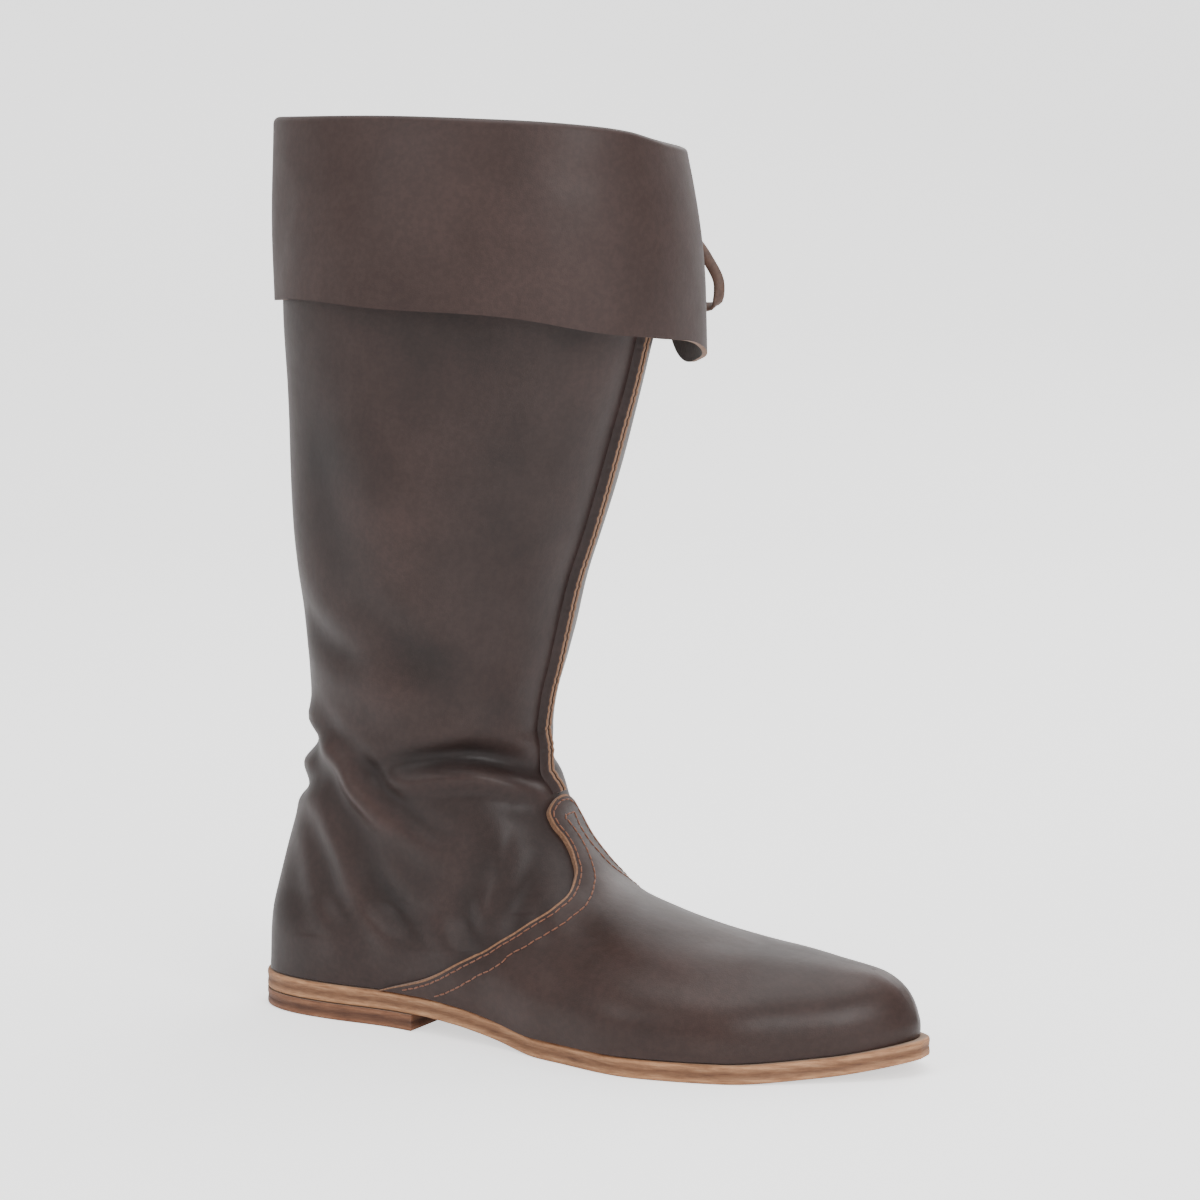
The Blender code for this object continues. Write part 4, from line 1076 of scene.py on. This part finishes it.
for name, (route, ways) in STRANDS.items():
    path = smooth_route(route, 90) + knot
    ways = np.array(ways, float)
    at = np.linspace(0, len(ways) - 1, 90)
    across = np.column_stack([np.interp(at, np.arange(len(ways)), ways[:, k]) for k in range(3)])
    rings = strap_rings(path, across)
    strand = make_piece(
        f"thong_{name}", rings, [(strap_faces(rings), 0)], [thong_leather], [f"lace_{name}"], "thong",
        sharp=60,
    )

# Knot: the thong wound round itself, one turn across and two aslant
turn = np.linspace(0, 2 * math.pi, 41)[:-1]
lift = np.linspace(-math.pi / 2, math.pi / 2, 22)
lift_grid, turn_grid = np.meshgrid(lift, turn, indexing="ij")
body = np.stack([
    np.cos(lift_grid) * np.cos(turn_grid), np.cos(lift_grid) * np.sin(turn_grid), np.sin(lift_grid),
], axis=-1)
body = np.sign(body) * np.abs(body) ** 0.85 * 0.5 * np.array(KNOT_SIZE) * 0.86
core_faces = grid_faces(len(lift), len(turn), 0, len(lift))
knot_points = [(body + knot).reshape(-1, 3)]
knot_faces = core_faces.tolist()
for lean, size in ((0.15, 1.0), (1.15, 0.93), (-1.0, 0.93)):
    around = np.linspace(0, 2 * math.pi, 49)
    axis = np.array([math.cos(lean), 0, math.sin(lean)])
    second = np.array([-math.sin(lean), 0, math.cos(lean)])
    loop = np.cos(around)[:, None] * second + np.sin(around)[:, None] * np.array([0, 1.0, 0])
    loop = loop * 0.5 * np.array(KNOT_SIZE) * 0.93 * size + knot
    rings = strap_rings(loop, np.tile(axis, (len(loop), 1)), LACE_WIDTH * 0.9, LACE_THICKNESS * 0.7)
    knot_faces += strap_faces(rings, sum(len(part) for part in knot_points))
    knot_points.append(rings.reshape(-1, 3))
make_piece(
    "thong_knot", np.concatenate(knot_points), [(knot_faces, 0)], [thong_leather], ["lace_knot"], "thong",
    sharp=60,
)


# Floor that curves up into a plain backdrop, and soft studio light
sweep = [
    # place behind the boot, and height
    (-14.0, 0.0), (-1.0, 0.0), (1.0, 0.0), (1.6, 0.02), (2.1, 0.16), (2.45, 0.45), (2.6, 0.9),
    (2.65, 2.0), (2.65, 4.0),
]
floor_mesh = bpy.data.meshes.new("floor")
floor_points = [(x, y, z - 0.00005) for y, z in sweep for x in (-14.0, 14.0)]
floor_faces = [[2 * k, 2 * k + 1, 2 * k + 3, 2 * k + 2] for k in range(len(sweep) - 1)]
floor_mesh.from_pydata(floor_points, [], floor_faces)
floor_mesh.shade_smooth()
floor = bpy.data.objects.new("floor", floor_mesh)
floor.rotation_euler = (0, 0, math.radians(28))
bpy.context.scene.collection.objects.link(floor)
floor_white = start_material("floor_white", (0.90, 0.90, 0.90), 0.8)
shader_of(floor_white).inputs["Emission Color"].default_value = (1, 1, 1, 1)
camera_ray = add(floor_white, "ShaderNodeLightPath").outputs["Is Camera Ray"]
glow = worked(floor_white, "MULTIPLY_ADD", camera_ray, 0.9)
glow.node.inputs[2].default_value = 0.20
join(floor_white, glow, shader_of(floor_white).inputs["Emission Strength"])
floor_mesh.materials.append(floor_white)

world = bpy.data.worlds.new("world")
bpy.context.scene.world = world
world.use_nodes = True
world.node_tree.nodes["Background"].inputs["Color"].default_value = (1.0, 0.99, 0.98, 1)
world.node_tree.nodes["Background"].inputs["Strength"].default_value = 0.68
LIGHTS = [
    # name, place, size, power in watts
    ("overhead", (0.15, 0.10, 1.9), 1.6, 26),
    ("inner_side", (-0.7, -1.8, 1.2), 1.1, 11),
    ("toe_side", (1.7, -1.1, 1.1), 1.0, 23),
    ("outer_side", (0.2, 1.7, 1.2), 1.2, 12),
]
for name, place, size, power in LIGHTS:
    light_data = bpy.data.lights.new(name, "AREA")
    light_data.shape = "SQUARE"
    light_data.size = size
    light_data.energy = power
    light = bpy.data.objects.new(name, light_data)
    light.location = place
    light.rotation_euler = (Vector((0.1, 0, 0.15)) - Vector(place)).to_track_quat("-Z", "Y").to_euler()
    bpy.context.scene.collection.objects.link(light)
